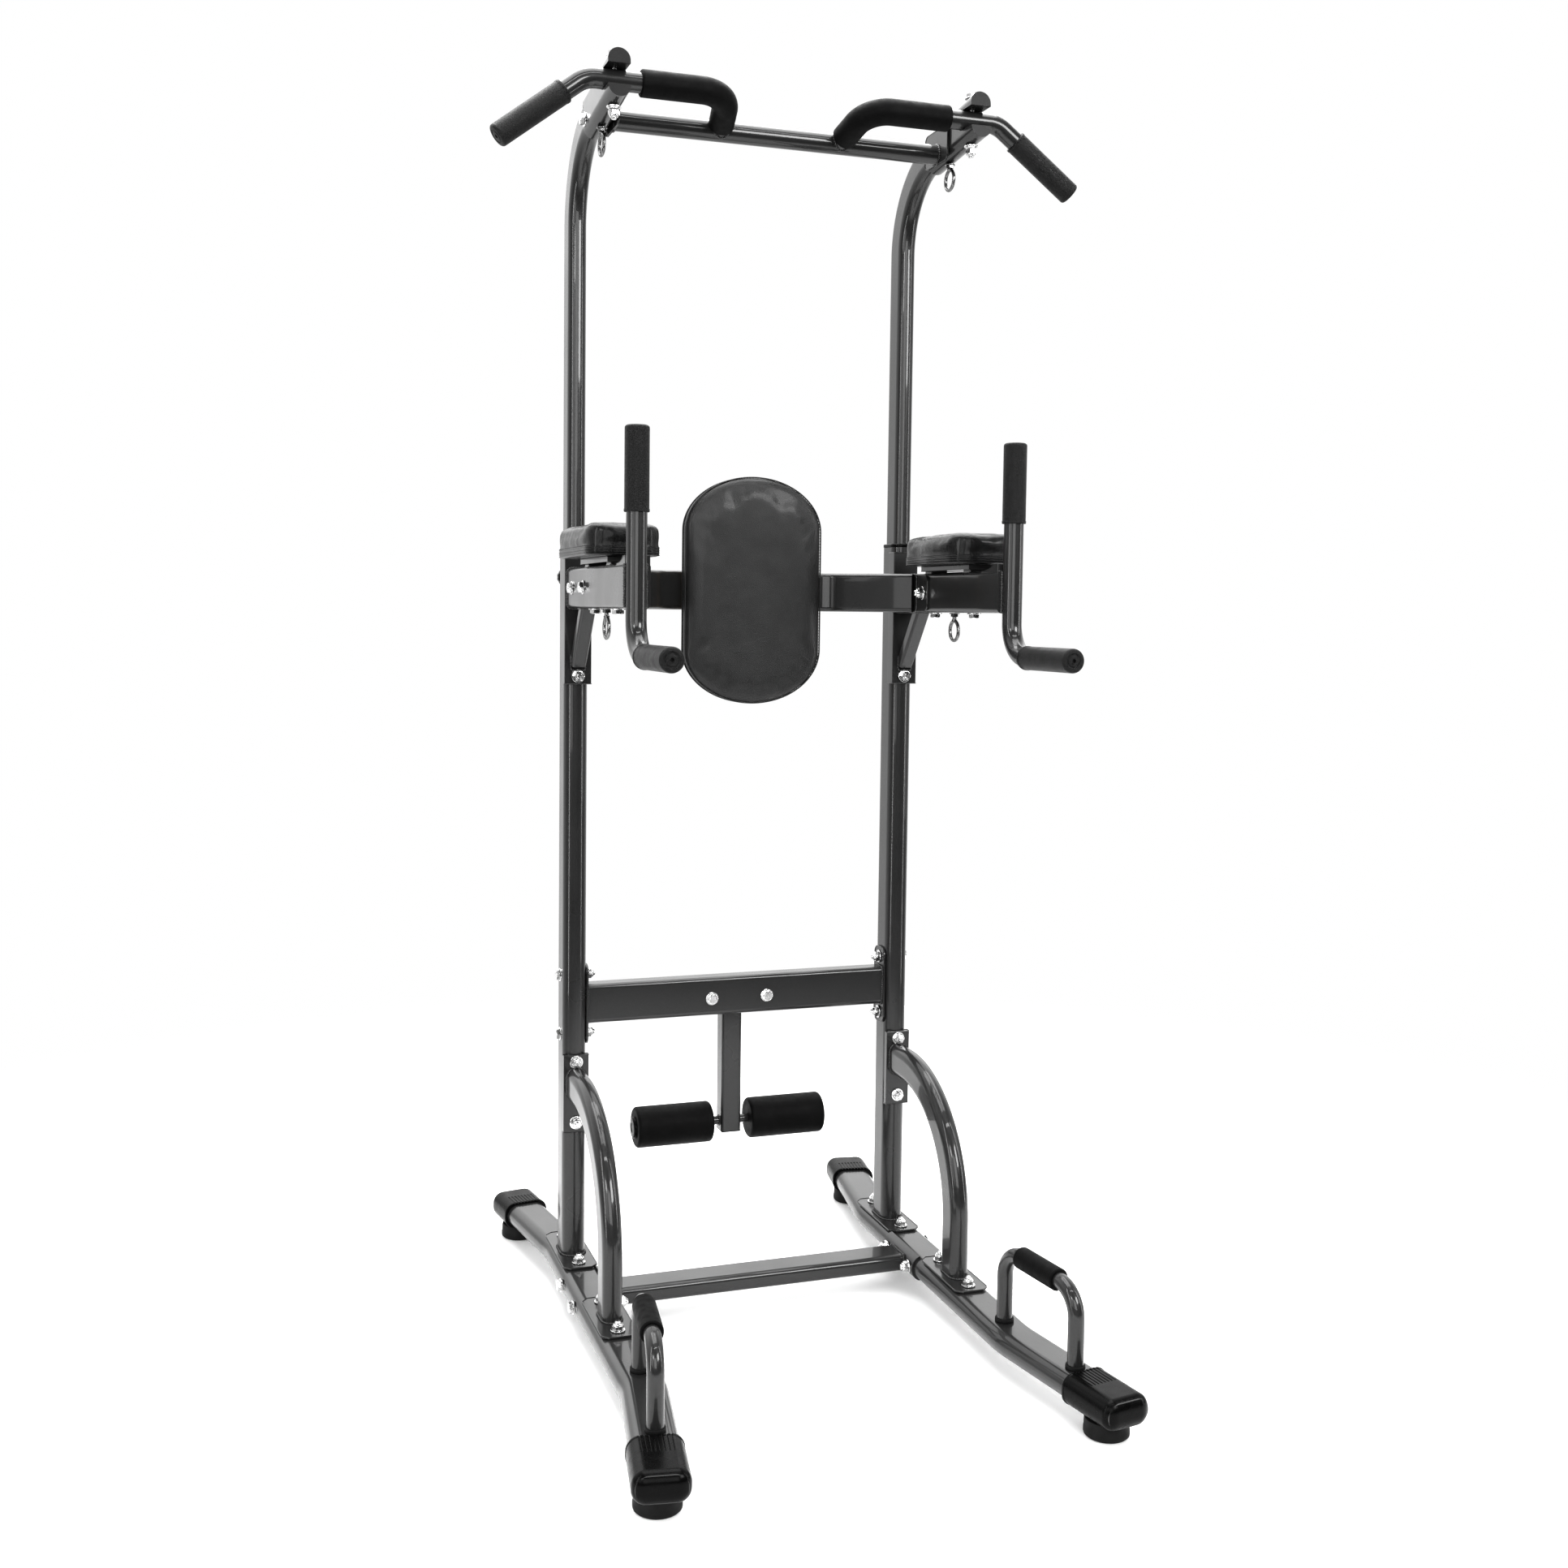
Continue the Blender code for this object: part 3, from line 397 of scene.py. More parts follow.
def soft_tube(path, radius, rounding, sides=40):
    """A round cover along a path, with its ends rounded off."""
    path = [Vector(point) for point in path]
    head = (path[1] - path[0]).normalized()
    tail = (path[-2] - path[-1]).normalized()
    angles = [radians(degrees) for degrees in (0, 18, 36, 54, 72, 90)]
    start = [(path[0] + head * rounding * (1 - cos(angle)),
              1 - rounding / radius * (1 - sin(angle))) for angle in angles]
    finish = [(path[-1] + tail * rounding * (1 - cos(angle)),
               1 - rounding / radius * (1 - sin(angle))) for angle in angles[::-1]]
    knots = start + [(point, 1.0) for point in path[1:-1]] + finish
    return sweep(circle(radius, sides), [knot[0] for knot in knots],
                 scales=[knot[1] for knot in knots])


def turned(profile, placement=Matrix(), sides=40, closed=False):
    """A solid of revolution about its own Z. The profile's points are (radius, height)."""
    rings = []
    for radius, height in profile:
        outline = circle(radius, sides) if radius > 0 else [Vector((0, 0))]
        rings.append(placed(outline, placement, height))
    return loft(rings, closed)


def rod(start, end, radius, sides=32):
    """A plain round rod between two points."""
    return sweep(circle(radius, sides), [start, end])


def pointing(place, direction):
    """Placement whose own Z runs along this direction."""
    turn = Vector(direction).to_track_quat('Z', 'Y').to_matrix().to_4x4()
    return Matrix.Translation(place) @ turn


def mesh_of(shells, name="form"):
    """One mesh of several shells, with its faces pointing out."""
    work = bmesh.new()
    for points, faces in shells:
        corners = [work.verts.new(point) for point in points]
        for face in faces:
            work.faces.new([corners[index] for index in face])
    bmesh.ops.recalc_face_normals(work, faces=work.faces)
    mesh = bpy.data.meshes.new(name)
    work.to_mesh(mesh)
    work.free()
    return mesh


def new_object(mesh):
    """Link a mesh to the scene as a new object."""
    thing = bpy.data.objects.new(mesh.name, mesh)
    bpy.context.scene.collection.objects.link(thing)
    return thing


def evaluated(thing):
    """The mesh of an object with its modifiers applied."""
    bpy.context.view_layer.update()
    graph = bpy.context.evaluated_depsgraph_get()
    return bpy.data.meshes.new_from_object(thing.evaluated_get(graph))


def carve(shells, tools):
    """Cut the tools out of the shells, and return what is left as one shell."""
    target = new_object(mesh_of(shells))
    cutter = new_object(mesh_of(tools))
    boolean = target.modifiers.new("Cut", 'BOOLEAN')
    boolean.object = cutter
    boolean.solver = 'EXACT'
    boolean.use_self = True
    mesh = evaluated(target)
    bpy.data.objects.remove(target)
    bpy.data.objects.remove(cutter)
    return [vertex.co.copy() for vertex in mesh.vertices], [tuple(face.vertices) for face in mesh.polygons]


# ---- materials ----
def rgba(color):
    """An opaque colour, from a grey or a colour."""
    return (*color, 1.0) if isinstance(color, tuple) else (color, color, color, 1.0)


def wired(tree, kind, source, socket, **values):
    """A new node, fed by a source at one socket and by constants at others."""
    node = tree.nodes.new("ShaderNode" + kind)
    tree.links.new(source, node.inputs[socket])
    for name, value in values.items():
        node.inputs[name.replace("_", " ")].default_value = value
    return node


class Finish:
    """A Principled material, and the nodes that give it grain."""

    def __init__(self, name, color, roughness, metallic=0.0, **sockets):
        self.material = bpy.data.materials.new(name)
        self.material.use_nodes = True
        self.tree = self.material.node_tree
        self.shader = self.tree.nodes["Principled BSDF"]
        self.shader.inputs["Base Color"].default_value = rgba(color)
        self.shader.inputs["Roughness"].default_value = roughness
        self.shader.inputs["Metallic"].default_value = metallic
        for socket, value in sockets.items():
            title = socket.replace("_", " ").title().replace("Ior", "IOR")
            self.shader.inputs[title].default_value = value
        self.place = self.tree.nodes.new("ShaderNodeTexCoord").outputs["Object"]
        self.normal = None

    def noise(self, scale, detail=3.0, stretch=(1, 1, 1)):
        """Soft noise; the stretch makes it finer along an axis."""
        mapping = wired(self.tree, "Mapping", self.place, "Vector", Scale=stretch)
        return wired(self.tree, "TexNoise", mapping.outputs["Vector"], "Vector", Scale=scale,
                     Detail=detail).outputs["Fac"]

    def cells(self, scale, feature='F1', output="Distance"):
        """Cells of a Voronoi texture."""
        texture = wired(self.tree, "TexVoronoi", self.place, "Vector", Scale=scale)
        texture.feature = feature
        if feature == 'SMOOTH_F1':
            texture.inputs["Smoothness"].default_value = 0.25
        return texture.outputs[output]

    def mapped(self, source, low_in, high_in, low_out, high_out):
        """A value carried from one range to another."""
        return wired(self.tree, "MapRange", source, "Value", From_Min=low_in, From_Max=high_in,
                     To_Min=low_out, To_Max=high_out).outputs["Result"]

    def tint(self, source, *stops):
        """Colour the surface with a ramp of (position, grey or colour) stops."""
        ramp = wired(self.tree, "ValToRGB", source, "Fac")
        elements = ramp.color_ramp.elements
        while len(elements) < len(stops):
            elements.new(0.5)
        for element, (position, color) in zip(elements, stops):
            element.position = position
            element.color = rgba(color)
        self.tree.links.new(ramp.outputs["Color"], self.shader.inputs["Base Color"])

    def gloss(self, source, smooth, rough):
        """Vary the roughness between two values."""
        self.tree.links.new(self.mapped(source, 0.3, 0.7, smooth, rough), self.shader.inputs["Roughness"])

    def relief(self, source, depth, strength=1.0):
        """Add a layer of bump of this depth in metres."""
        node = wired(self.tree, "Bump", source, "Height", Distance=depth, Strength=strength)
        if self.normal is not None:
            self.tree.links.new(self.normal, node.inputs["Normal"])
        self.normal = node.outputs["Normal"]
        self.tree.links.new(self.normal, self.shader.inputs["Normal"])


def grained(name, color, roughness, tint, gloss, bumps, metallic=0.0, **sockets):
    """A surface whose colour, sheen and relief each follow a noise of their own.

    tint and gloss are (scale, detail, lowest, highest); a bump is (scale, detail, depth, strength), and
    made of cells where its detail is None.
    """
    surface = Finish(name, color, roughness, metallic, **sockets)
    surface.tint(surface.noise(*tint[:2]), (0.3, tint[2]), (0.7, tint[3]))
    surface.gloss(surface.noise(*gloss[:2]), *gloss[2:])
    for scale, detail, depth, strength in bumps:
        grain = surface.cells(scale) if detail is None else surface.noise(scale, detail)
        surface.relief(grain, depth, strength)
    return surface.material


def paint_finish(name, dark, light):
    """Dark metallic enamel: fine flakes, a faint orange peel and a clear coat."""
    paint = Finish(name, light, 0.3, 0.35, specular_ior_level=0.25, coat_weight=0.6, coat_roughness=0.04)
    paint.tint(paint.cells(1900, output="Color"), (0.0, dark), (0.85, light), (1.0, light * 1.5))
    paint.gloss(paint.noise(9), 0.26, 0.36)
    paint.relief(paint.noise(150, 2.0), 0.00004, 0.30)
    return paint.material


def pebbled_rubber_finish():
    """Moulded grip rubber with a raised pebble pattern."""
    rubber = Finish("pebbled_rubber", 0.006, 0.4, specular_ior_level=0.28)
    pebbles = rubber.cells(820, 'SMOOTH_F1')
    # Painted shade and highlight: the colour is lighter on the pebble tops and darker down in the gaps
    # between them, following the bump.
    rubber.tint(pebbles, (0.0, 0.007), (0.55, 0.004), (1.0, 0.002))
    rubber.gloss(rubber.noise(60), 0.30, 0.42)
    rubber.relief(rubber.mapped(pebbles, 0.0, 0.7, 1.0, 0.0), 0.0005)
    rubber.relief(rubber.noise(2400, 2.0), 0.0001, 0.5)
    return rubber.material


def leather_finish(name, rough, creases):
    """Black upholstery leather: fine grain, soft creases and an uneven sheen."""
    leather = Finish(name, 0.007, rough, specular_ior_level=rough * 1.1 - 0.06,
                     coat_weight=0.20, coat_roughness=rough * 0.5)
    leather.tint(leather.noise(26, 4.0), (0.35, rough * 0.014), (0.65, rough * 0.026))
    leather.gloss(leather.noise(34, 4.0), rough * 0.9, rough * 1.15)
    leather.relief(leather.noise(17), creases, 0.25)
    leather.relief(leather.cells(440, 'DISTANCE_TO_EDGE'), 0.0006, 0.9)
    leather.relief(leather.noise(1100), 0.00025, 0.9)
    return leather.material


def plywood_finish():
    """Unfinished plywood with long grain."""
    plywood = Finish("plywood", (0.36, 0.25, 0.14), 0.75)
    grain = plywood.noise(12, 5.0, (14, 14, 1))
    plywood.tint(grain, (0.3, (0.26, 0.17, 0.09)), (0.7, (0.46, 0.33, 0.20)))
    plywood.gloss(grain, 0.66, 0.82)
    plywood.relief(grain, 0.0004, 0.5)
    return plywood.material


PAINT = paint_finish("frame_paint", 0.024, 0.036)
WELD = paint_finish("weld_paint", 0.022, 0.034)
PEBBLED = pebbled_rubber_finish()
FOAM = grained("foam", 0.002, 0.6, (38, 3, 0.0012, 0.0028), (90, 3, 0.48, 0.62),
               [(1500, None, 0.00018, 0.6), (300, 4, 0.00015, 0.5)], specular_ior_level=0.12)
LEATHER = leather_finish("leatherette", 0.46, 0.0010)
GLOSSY_LEATHER = leather_finish("glossy_leatherette", 0.24, 0.0012)
PLASTIC = grained("black_plastic", 0.002, 0.24, (30, 3, 0.0012, 0.0026), (55, 4, 0.20, 0.32),
                  [(900, 2, 0.00008, 0.5), (22, 2, 0.0008, 0.10)], specular_ior_level=0.12)
RUBBER = grained("plain_rubber", 0.006, 0.62, (50, 3, 0.004, 0.008), (80, 3, 0.55, 0.70),
                 [(1100, 3, 0.00015, 0.6)], specular_ior_level=0.25)
ZINC = grained("zinc", (0.72, 0.72, 0.73), 0.2, (160, 4, 0.55, 0.82), (240, 4, 0.14, 0.30),
               [(900, 2, 0.00006, 0.5)], metallic=1.0)
DARK_STEEL = grained("dark_steel", 0.20, 0.24, (120, 4, 0.12, 0.28), (240, 4, 0.18, 0.34),
                     [(700, 2, 0.00006, 0.5)], metallic=1.0)
PLYWOOD = plywood_finish()
THREAD = grained("thread", 0.012, 0.6, (1500, 2, 0.006, 0.020), (600, 2, 0.40, 0.60),
                 [(2500, 1, 0.0001, 0.6)], specular_ior_level=0.1)

# The bodies that the pieces are attached to.
BASE = "base_frame"
TOP = "upper_frame"


# ---- finishing a piece ----
# Faces that meet at a sharper turn than this keep a crisp edge between them.
CRISP_TURN = radians(38)


def finish(piece, material, body, node):
    """Give a piece its material, shading and body, and hide the CAD node it stands for, if any."""
    piece.data.materials.clear()
    piece.data.materials.append(material)
    piece.data.shade_smooth()
    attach(piece, body)
    if node:
        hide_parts(node)


def add(name, shells, material, body=BASE, node=None):
    """Make one piece of hard shells, with crisp edges and even shading on its flats."""
    piece = new_object(mesh_of(shells, name))
    finish(piece, material, body, node)
    piece.data.set_sharp_from_angle(angle=CRISP_TURN)
    piece.modifiers.new("Even shading", 'WEIGHTED_NORMAL').keep_sharp = True


def stand_in(node, ending, shells, material, body=BASE):
    """Make the piece that stands for a CAD node, named after it."""
    add(node + "_" + ending, shells, material, body, node)


# ---- welds ----
def bead(path, closed=True, radius=0.0022):
    """A weld bead: a round cord along a path, swelling unevenly at each dab of the torch."""
    ripple = 0.0040
    spacing = ripple / 5
    path = resampled(path, spacing, closed)
    scales = []
    for index, point in enumerate(path):
        drift = noise.noise(point * 140)
        dab = sin(2 * pi * index * spacing / ripple + 2.5 * drift)
        scales.append(1 + 0.16 * dab + 0.30 * noise.noise(point * 75))
    if not closed:
        scales[0] = scales[-1] = 0.35
        scales[1] = scales[-2] = 0.8
    return sweep(circle(radius, 10), path, scales=scales, closed=closed)


def saddle_loop(start, direction, radius):
    """Where a round bar meets the top crossbar: a closed loop round the joint."""
    direction = Vector(direction).normalized()
    side = direction.orthogonal().normalized()
    other = direction.cross(side)
    along = direction.yz
    loop = []
    for angle in turns(48):
        point = Vector(start) + (side * cos(angle) + other * sin(angle)) * radius
        from_axis = point.yz - Vector((CROSSBAR_Y, CROSSBAR_Z))
        half = from_axis.dot(along)
        rest = from_axis.length_squared - CROSSBAR_RADIUS ** 2
        root = sqrt(max(0.0, half * half - along.length_squared * rest))
        loop.append(point + direction * (root - half) / along.length_squared)
    return loop


# ---- fasteners ----
HEX_SIDES = 36
CHAMFER = tan(radians(30))


def hex_ring(radius, height, wide):
    """The points of a hexagon, or of a circle inside it, at one height."""
    points = []
    for angle in turns(HEX_SIDES):
        reach = radius / cos((angle % (pi / 3)) - pi / 6) if wide else radius * 0.96
        lift = height(reach - radius * 0.96) if wide else height(0.0)
        points.append(Vector((reach * cos(angle), reach * sin(angle), lift)))
    return points


def hex_body(width, bottom, top):
    """A hexagonal nut or head with its corners chamfered at both ends."""
    radius = width / 2
    return loft([hex_ring(radius, lambda reach: bottom, False),
                 hex_ring(radius, lambda reach: bottom + reach * CHAMFER, True),
                 hex_ring(radius, lambda reach: top - reach * CHAMFER, True),
                 hex_ring(radius, lambda reach: top, False)])


def pin_housing(width, height):
    """A hexagonal ring with a hole for the pull pin."""
    radius = width / 2
    inner = [placed(circle(PIN_HOLE, HEX_SIDES), Matrix(), z) for z in (height, 0.0)]
    return loft([hex_ring(radius, lambda reach: 0.0, True),
                 hex_ring(radius, lambda reach: height - reach * CHAMFER, True),
                 hex_ring(radius, lambda reach: height, False)] + inner, closed=True)


def washer(radius, bottom, thickness):
    """A flat washer with softened edges."""
    edge = 0.0004
    top = bottom + thickness
    return turned([(0.0, bottom), (radius - edge, bottom), (radius, bottom + edge), (radius, top - edge),
                   (radius - edge, top), (0.0, top)], sides=32)


def thread_end(radius, bottom, top):
    """The threaded end of a bolt, with its chamfered tip."""
    pitch = 0.0015
    root = radius * 0.88
    profile = [(0.0, bottom)]
    for index in range(int((top - bottom - 0.001) / pitch)):
        profile += [(root, bottom + index * pitch), (radius, bottom + (index + 0.5) * pitch)]
    profile += [(root, top - 0.001), (radius * 0.75, top), (0.0, top)]
    return turned(profile, sides=24)


BOLT_RADIUS = 0.005
NUT_SHELLS = (washer(0.012, 0.0, 0.002), hex_body(0.017, 0.002, 0.0095),
              turned([(0.0, 0.009), (0.0078, 0.009), (0.0076, 0.0112), (0.0066, 0.0124),
                      (0.0054, 0.0124), (0.0, 0.0120)], sides=32),
              thread_end(BOLT_RADIUS, 0.0115, 0.0160))
HEAD_SHELLS = (washer(0.012, 0.0, 0.002), hex_body(0.017, 0.002, 0.0084),
               turned([(0.0, 0.008), (0.0070, 0.008), (0.0066, 0.0089), (0.0, 0.0089)], sides=32))


def bolt(nut, head):
    """A bolt through two faces, given by the places of its nut and its head."""
    direction = (Vector(nut) - Vector(head)).normalized()
    return [(nut, direction, NUT_SHELLS), (head, -direction, HEAD_SHELLS)]


def fasteners(name, places, body=BASE):
    """One piece of nuts and bolt heads, each given by its place, its direction and its shells."""
    add(name, [moved(shell, pointing(place, direction))
               for place, direction, shells in places for shell in shells], ZINC, body)


def add_beam(node, shells, beads, bolts):
    """The three pieces of a beam between the sides: its steel, its welds and its fasteners."""
    stand_in(node, "tube", shells, PAINT)
    add(node + "_welds", beads, WELD)
    fasteners(node + "_bolts", bolts)


# ---- base ----
def rail_corners(side):
    """The centreline of one base rail, from back to front."""
    half = [Vector((side * RAIL_END_X, RAIL_END_Y, RAIL_Z)), Vector((side * RAIL_X, RAIL_BEND_Y, RAIL_Z))]
    return half + [point * Vector((1, -1, 1)) for point in half[::-1]]


def end_cap(side, end, length):
    """The ribbed cap over one end of a base rail. end is -1 at the front and 1 at the back."""
    bend, tip = rail_corners(side)[1::-1] if end > 0 else rail_corners(side)[2:]
    outward = (tip - bend).normalized()
    place = pointing(tip - outward * length, outward)
    total = length + CAP_WALL
    rounding = 0.0165
    crown = RAIL_HEIGHT / 2 + CAP_WALL - 0.0050
    levels = [(0.0, 0.0006), (0.0008, 0.0), (0.004, 0.0), (0.0046, 0.0007), (total - rounding, 0.0007)]
    for degrees in range(9, 91, 9):
        angle = radians(degrees)
        levels.append((total - rounding * (1 - sin(angle)), 0.0007 + crown * (1 - cos(angle))))
    width = RAIL_WIDTH + 2 * CAP_WALL
    height = RAIL_HEIGHT + 2 * CAP_WALL
    rings = []
    for depth, shrink in levels:
        corner = max(0.0215 - shrink, 0.0025)
        rings.append(placed(rounded_outline(width - 2 * shrink, height - 2 * shrink, corner), place, depth))
    grooves = []
    for index in range(8):
        across = (index - 3.5) * 0.0064
        ends = [place @ Vector((across, height / 2, depth)) for depth in (-0.003, 0.46 * length)]
        grooves.append(sweep(rounded_outline(0.0024, 0.0036, 0.0008, 2), ends, UP))
    return carve([loft(rings)], grooves)


def foot(place):
    """A round rubber foot, from its top down."""
    top = RAIL_Z - RAIL_HEIGHT / 2 - CAP_WALL - GAP
    return turned([(0.0, top), (0.0310, top), (0.0332, top - 0.0008), (0.0340, top - 0.0030),
                   (0.0343, 0.0120), (0.0350, 0.0100), (0.0350, 0.0040), (0.0345, 0.0020),
                   (0.0330, 0.0005), (0.0310, 0.0), (0.0, 0.0)], Matrix.Translation((*place.xy, 0)), 56)


def push_up_path(side):
    """The centreline of one push-up handle, from its front post to its rear post."""
    front, rear = ((side * knot.x, knot.y) for knot in HANDLE_POSTS)
    return fillet_path([(*front, PLATE_Z), (*front, HANDLE_GRIP_Z), (*rear, HANDLE_GRIP_Z),
                        (*rear, PLATE_Z)], 0.045)


def post_collar(x, y):
    """The rubber collar round the foot of a handle post."""
    inner = HANDLE_RADIUS - 0.002
    return turned([(inner, 0.0), (0.0150, 0.0), (0.0156, 0.0010), (0.0154, 0.0050), (0.0146, 0.0062),
                   (inner, 0.0064)], Matrix.Translation((x, y, PLATE_Z)), closed=True)


def push_up_grip(side):
    """The foam grip on the straight top of a push-up handle."""
    front, rear = (Vector((side * knot.x, knot.y, HANDLE_GRIP_Z)) for knot in HANDLE_POSTS)
    ends = [front.lerp(rear, share) for share in (0.24, 0.77)]
    return soft_tube(resampled(ends, 0.01), 0.018, 0.0028)


def build_base():
    """The rails with their end caps and feet, and the push-up handles with their collars and grips."""
    for side, word in SIDES:
        tube = sweep(oval(RAIL_WIDTH, RAIL_HEIGHT), fillet_path(rail_corners(side), RAIL_BEND, 40), UP)
        stand_in("base_rail_" + word, "tube", [tube], PAINT)
        for end, where, length in END_CAPS:
            stand_in(f"{where}_cap_{word}", "ribbed", [end_cap(side, end, length)], PLASTIC)
            node = f"foot_{where}_{word}"
            stand_in(node, "rubber", [foot(middle(node))], RUBBER)
        handle = round_tube(push_up_path(side), HANDLE_RADIUS)
        stand_in("push_up_handle_" + word, "tube", [handle], PAINT)
        add("push_up_collars_" + word, [post_collar(side * knot.x, knot.y) for knot in HANDLE_POSTS], RUBBER)
        stand_in("push_up_grip_" + word, "foam", [push_up_grip(side)], FOAM)


def base_saddle(side):
    """The curved plate on a base beam's end, bent round the side of the rail."""
    hub = side * (RAIL_X - RAIL_WIDTH / 2 + RAIL_HEIGHT / 2)
    section = []
    for thickness, direction in ((GAP, 1), (PLATE, -1)):
        radius = RAIL_HEIGHT / 2 + thickness
        for step in range(-12, 13):
            angle = radians(70) * direction * step / 12
            section.append((hub - side * radius * cos(angle), RAIL_Z + radius * sin(angle)))
    rings = []
    for depth, shrink in ((-0.066, 0.0008), (-0.065, 0.0), (0.065, 0.0), (0.066, 0.0008)):
        rings.append([(x + side * shrink * 0.5, BASE_BEAM_Y + depth, z) for x, z in section])
    return loft(rings)


def build_base_beam():
    """The low tube between the rails, its saddles, welds and bolts."""
    reach = RAIL_X - RAIL_WIDTH / 2
    outline = rounded_outline(BASE_BEAM_DEPTH, BASE_BEAM_HEIGHT, 0.010)
    shells = [sweep(outline, [(x, BASE_BEAM_Y, BASE_BEAM_Z) for x in (-reach, reach)], UP)]
    beads = []
    bolts = []
    for side, _ in SIDES:
        shells.append(base_saddle(side))
        face = side * (reach - PLATE)
        beads.append(bead(outline_at(outline, BASE_BEAM_Y, BASE_BEAM_Z, side_plane(face))))
        for y in (BASE_BEAM_Y - BASE_BOLT_STEP, BASE_BEAM_Y + BASE_BOLT_STEP):
            bolts += bolt((face, y, RAIL_Z), (side * (RAIL_X + RAIL_WIDTH / 2), y, RAIL_Z))
    add_beam("base_crossbeam", shells, beads, bolts)


# ---- lower frame ----
def clipped_plate(x, y_low, y_high):
    """A base plate with clipped corners, lying on a rail."""
    clip = 0.012
    corners = ((-1, y_low, 1), (1, y_low, 1), (1, y_high, -1), (-1, y_high, -1))
    points = []
    for index, (side, y, inward) in enumerate(corners):
        along_edge = Vector((x + side * (BASE_PLATE_HALF - clip), y))
        down_side = Vector((x + side * BASE_PLATE_HALF, y + inward * clip))
        points += [down_side, along_edge] if index % 2 == 0 else [along_edge, down_side]
    return plate(points, PLATE, floor_plane(PLATE_Z + PLATE / 2))


def rail_bolts(x, places):
    """Bolts through a base plate and the rail under it."""
    return [half for y in places for half in bolt((x, y, PLATE_Z + PLATE), (x, y, RAIL_Z - RAIL_HEIGHT / 2))]


def upright_core(side, z_low, z_high):
    """A straight stretch of the lower upright's section, larger all round by a gap."""
    ends = [(side * RAIL_X, UPRIGHT_Y, z) for z in (z_low, z_high)]
    return sweep(oval(LOWER_WIDTH, LOWER_DEPTH, GAP), ends, AHEAD)


def level_ring(side, extra, z):
    """The lower upright's section at one height, larger all round by extra."""
    return outline_at(oval(LOWER_WIDTH, LOWER_DEPTH, extra), side * RAIL_X, UPRIGHT_Y, floor_plane(z))


def build_uprights():
    """Lower uprights with base plates, guides, pin housings, welds and bolts."""
    for side, word in SIDES:
        x = side * RAIL_X
        levels = [(0.0, PLATE_Z + 0.001), (0.0, LOWER_TOP - 0.0005), (-0.0005, LOWER_TOP),
                  (-LOWER_WALL, LOWER_TOP), (-LOWER_WALL, PLATE_Z + 0.006)]
        cup = loft([level_ring(side, extra, z) for extra, z in levels])
        pin_way = rod((x, UPRIGHT_Y + 0.020, PIN_Z), (x, UPRIGHT_Y + 0.050, PIN_Z), PIN_HOLE)
        foot_plate = clipped_plate(x, UPRIGHT_Y - 0.092, UPRIGHT_Y + 0.092)
        stand_in("lower_upright_" + word, "tube", [carve([cup], [pin_way]), foot_plate], PAINT)
        inside = -LOWER_WALL - GAP
        levels = [(inside, -0.040), (inside, GAP), (0.0004, GAP), (0.0006, 0.0008), (0.0006, 0.0048),
                  (-0.0006, 0.0060), (-0.0042, 0.0063), (-0.0048, 0.0050), (-0.0048, -0.040)]
        guide = loft([level_ring(side, extra, LOWER_TOP + rise) for extra, rise in levels], closed=True)
        stand_in("height_bushing_" + word, "moulding", [guide], PLASTIC)
        housing = moved(pin_housing(0.019, 0.0055), pointing((x, REAR_FACE_Y, PIN_Z), AHEAD))
        add("pin_housing_" + word, [housing], ZINC)
        add("upright_welds_" + word, [bead(level_ring(side, 0.0008, PLATE_Z + PLATE))], WELD)
        fasteners("upright_bolts_" + word, rail_bolts(x, (UPRIGHT_Y - 0.068, UPRIGHT_Y + 0.068)))


def build_braces():
    """The curved tubes that tie the uprights to the rails."""
    face = FRONT_FACE_Y - PLATE
    for side, word in SIDES:
        x = side * RAIL_X
        path = fillet_path([(x, FRONT_FACE_Y - 0.002, BRACE_TOP), (x, BRACE_Y, BRACE_TOP),
                            (x, BRACE_Y, PLATE_Z + PLATE / 2)], BRACE_BEND, 36)
        tube = sweep(oval(BRACE_DEPTH, BRACE_WIDTH), path, ACROSS)
        saddle = box((x - SADDLE_HALF, face, SADDLE_LOW),
                     (x + SADDLE_HALF, FRONT_FACE_Y + 0.009, SADDLE_HIGH))
        saddle = carve([saddle], [upright_core(side, SADDLE_LOW - 0.05, SADDLE_HIGH + 0.05)])
        foot_plate = clipped_plate(x, BRACE_Y - 0.080, BRACE_Y + 0.085)
        stand_in("brace_" + word, "tube", [tube, saddle, foot_plate], PAINT)
        section = oval(BRACE_WIDTH, BRACE_DEPTH)
        beads = [bead(outline_at(section, x, BRACE_TOP, front_plane(face))),
                 bead(outline_at(section, x, BRACE_Y, floor_plane(PLATE_Z + PLATE)))]
        add("brace_welds_" + word, beads, WELD)
        bolts = rail_bolts(x, (BRACE_Y - 0.057, BRACE_Y + 0.062))
        for z in BRACE_BOLTS:
            bolts += bolt((x, face, z), (x, REAR_FACE_Y, z))
        fasteners("brace_bolts_" + word, bolts)


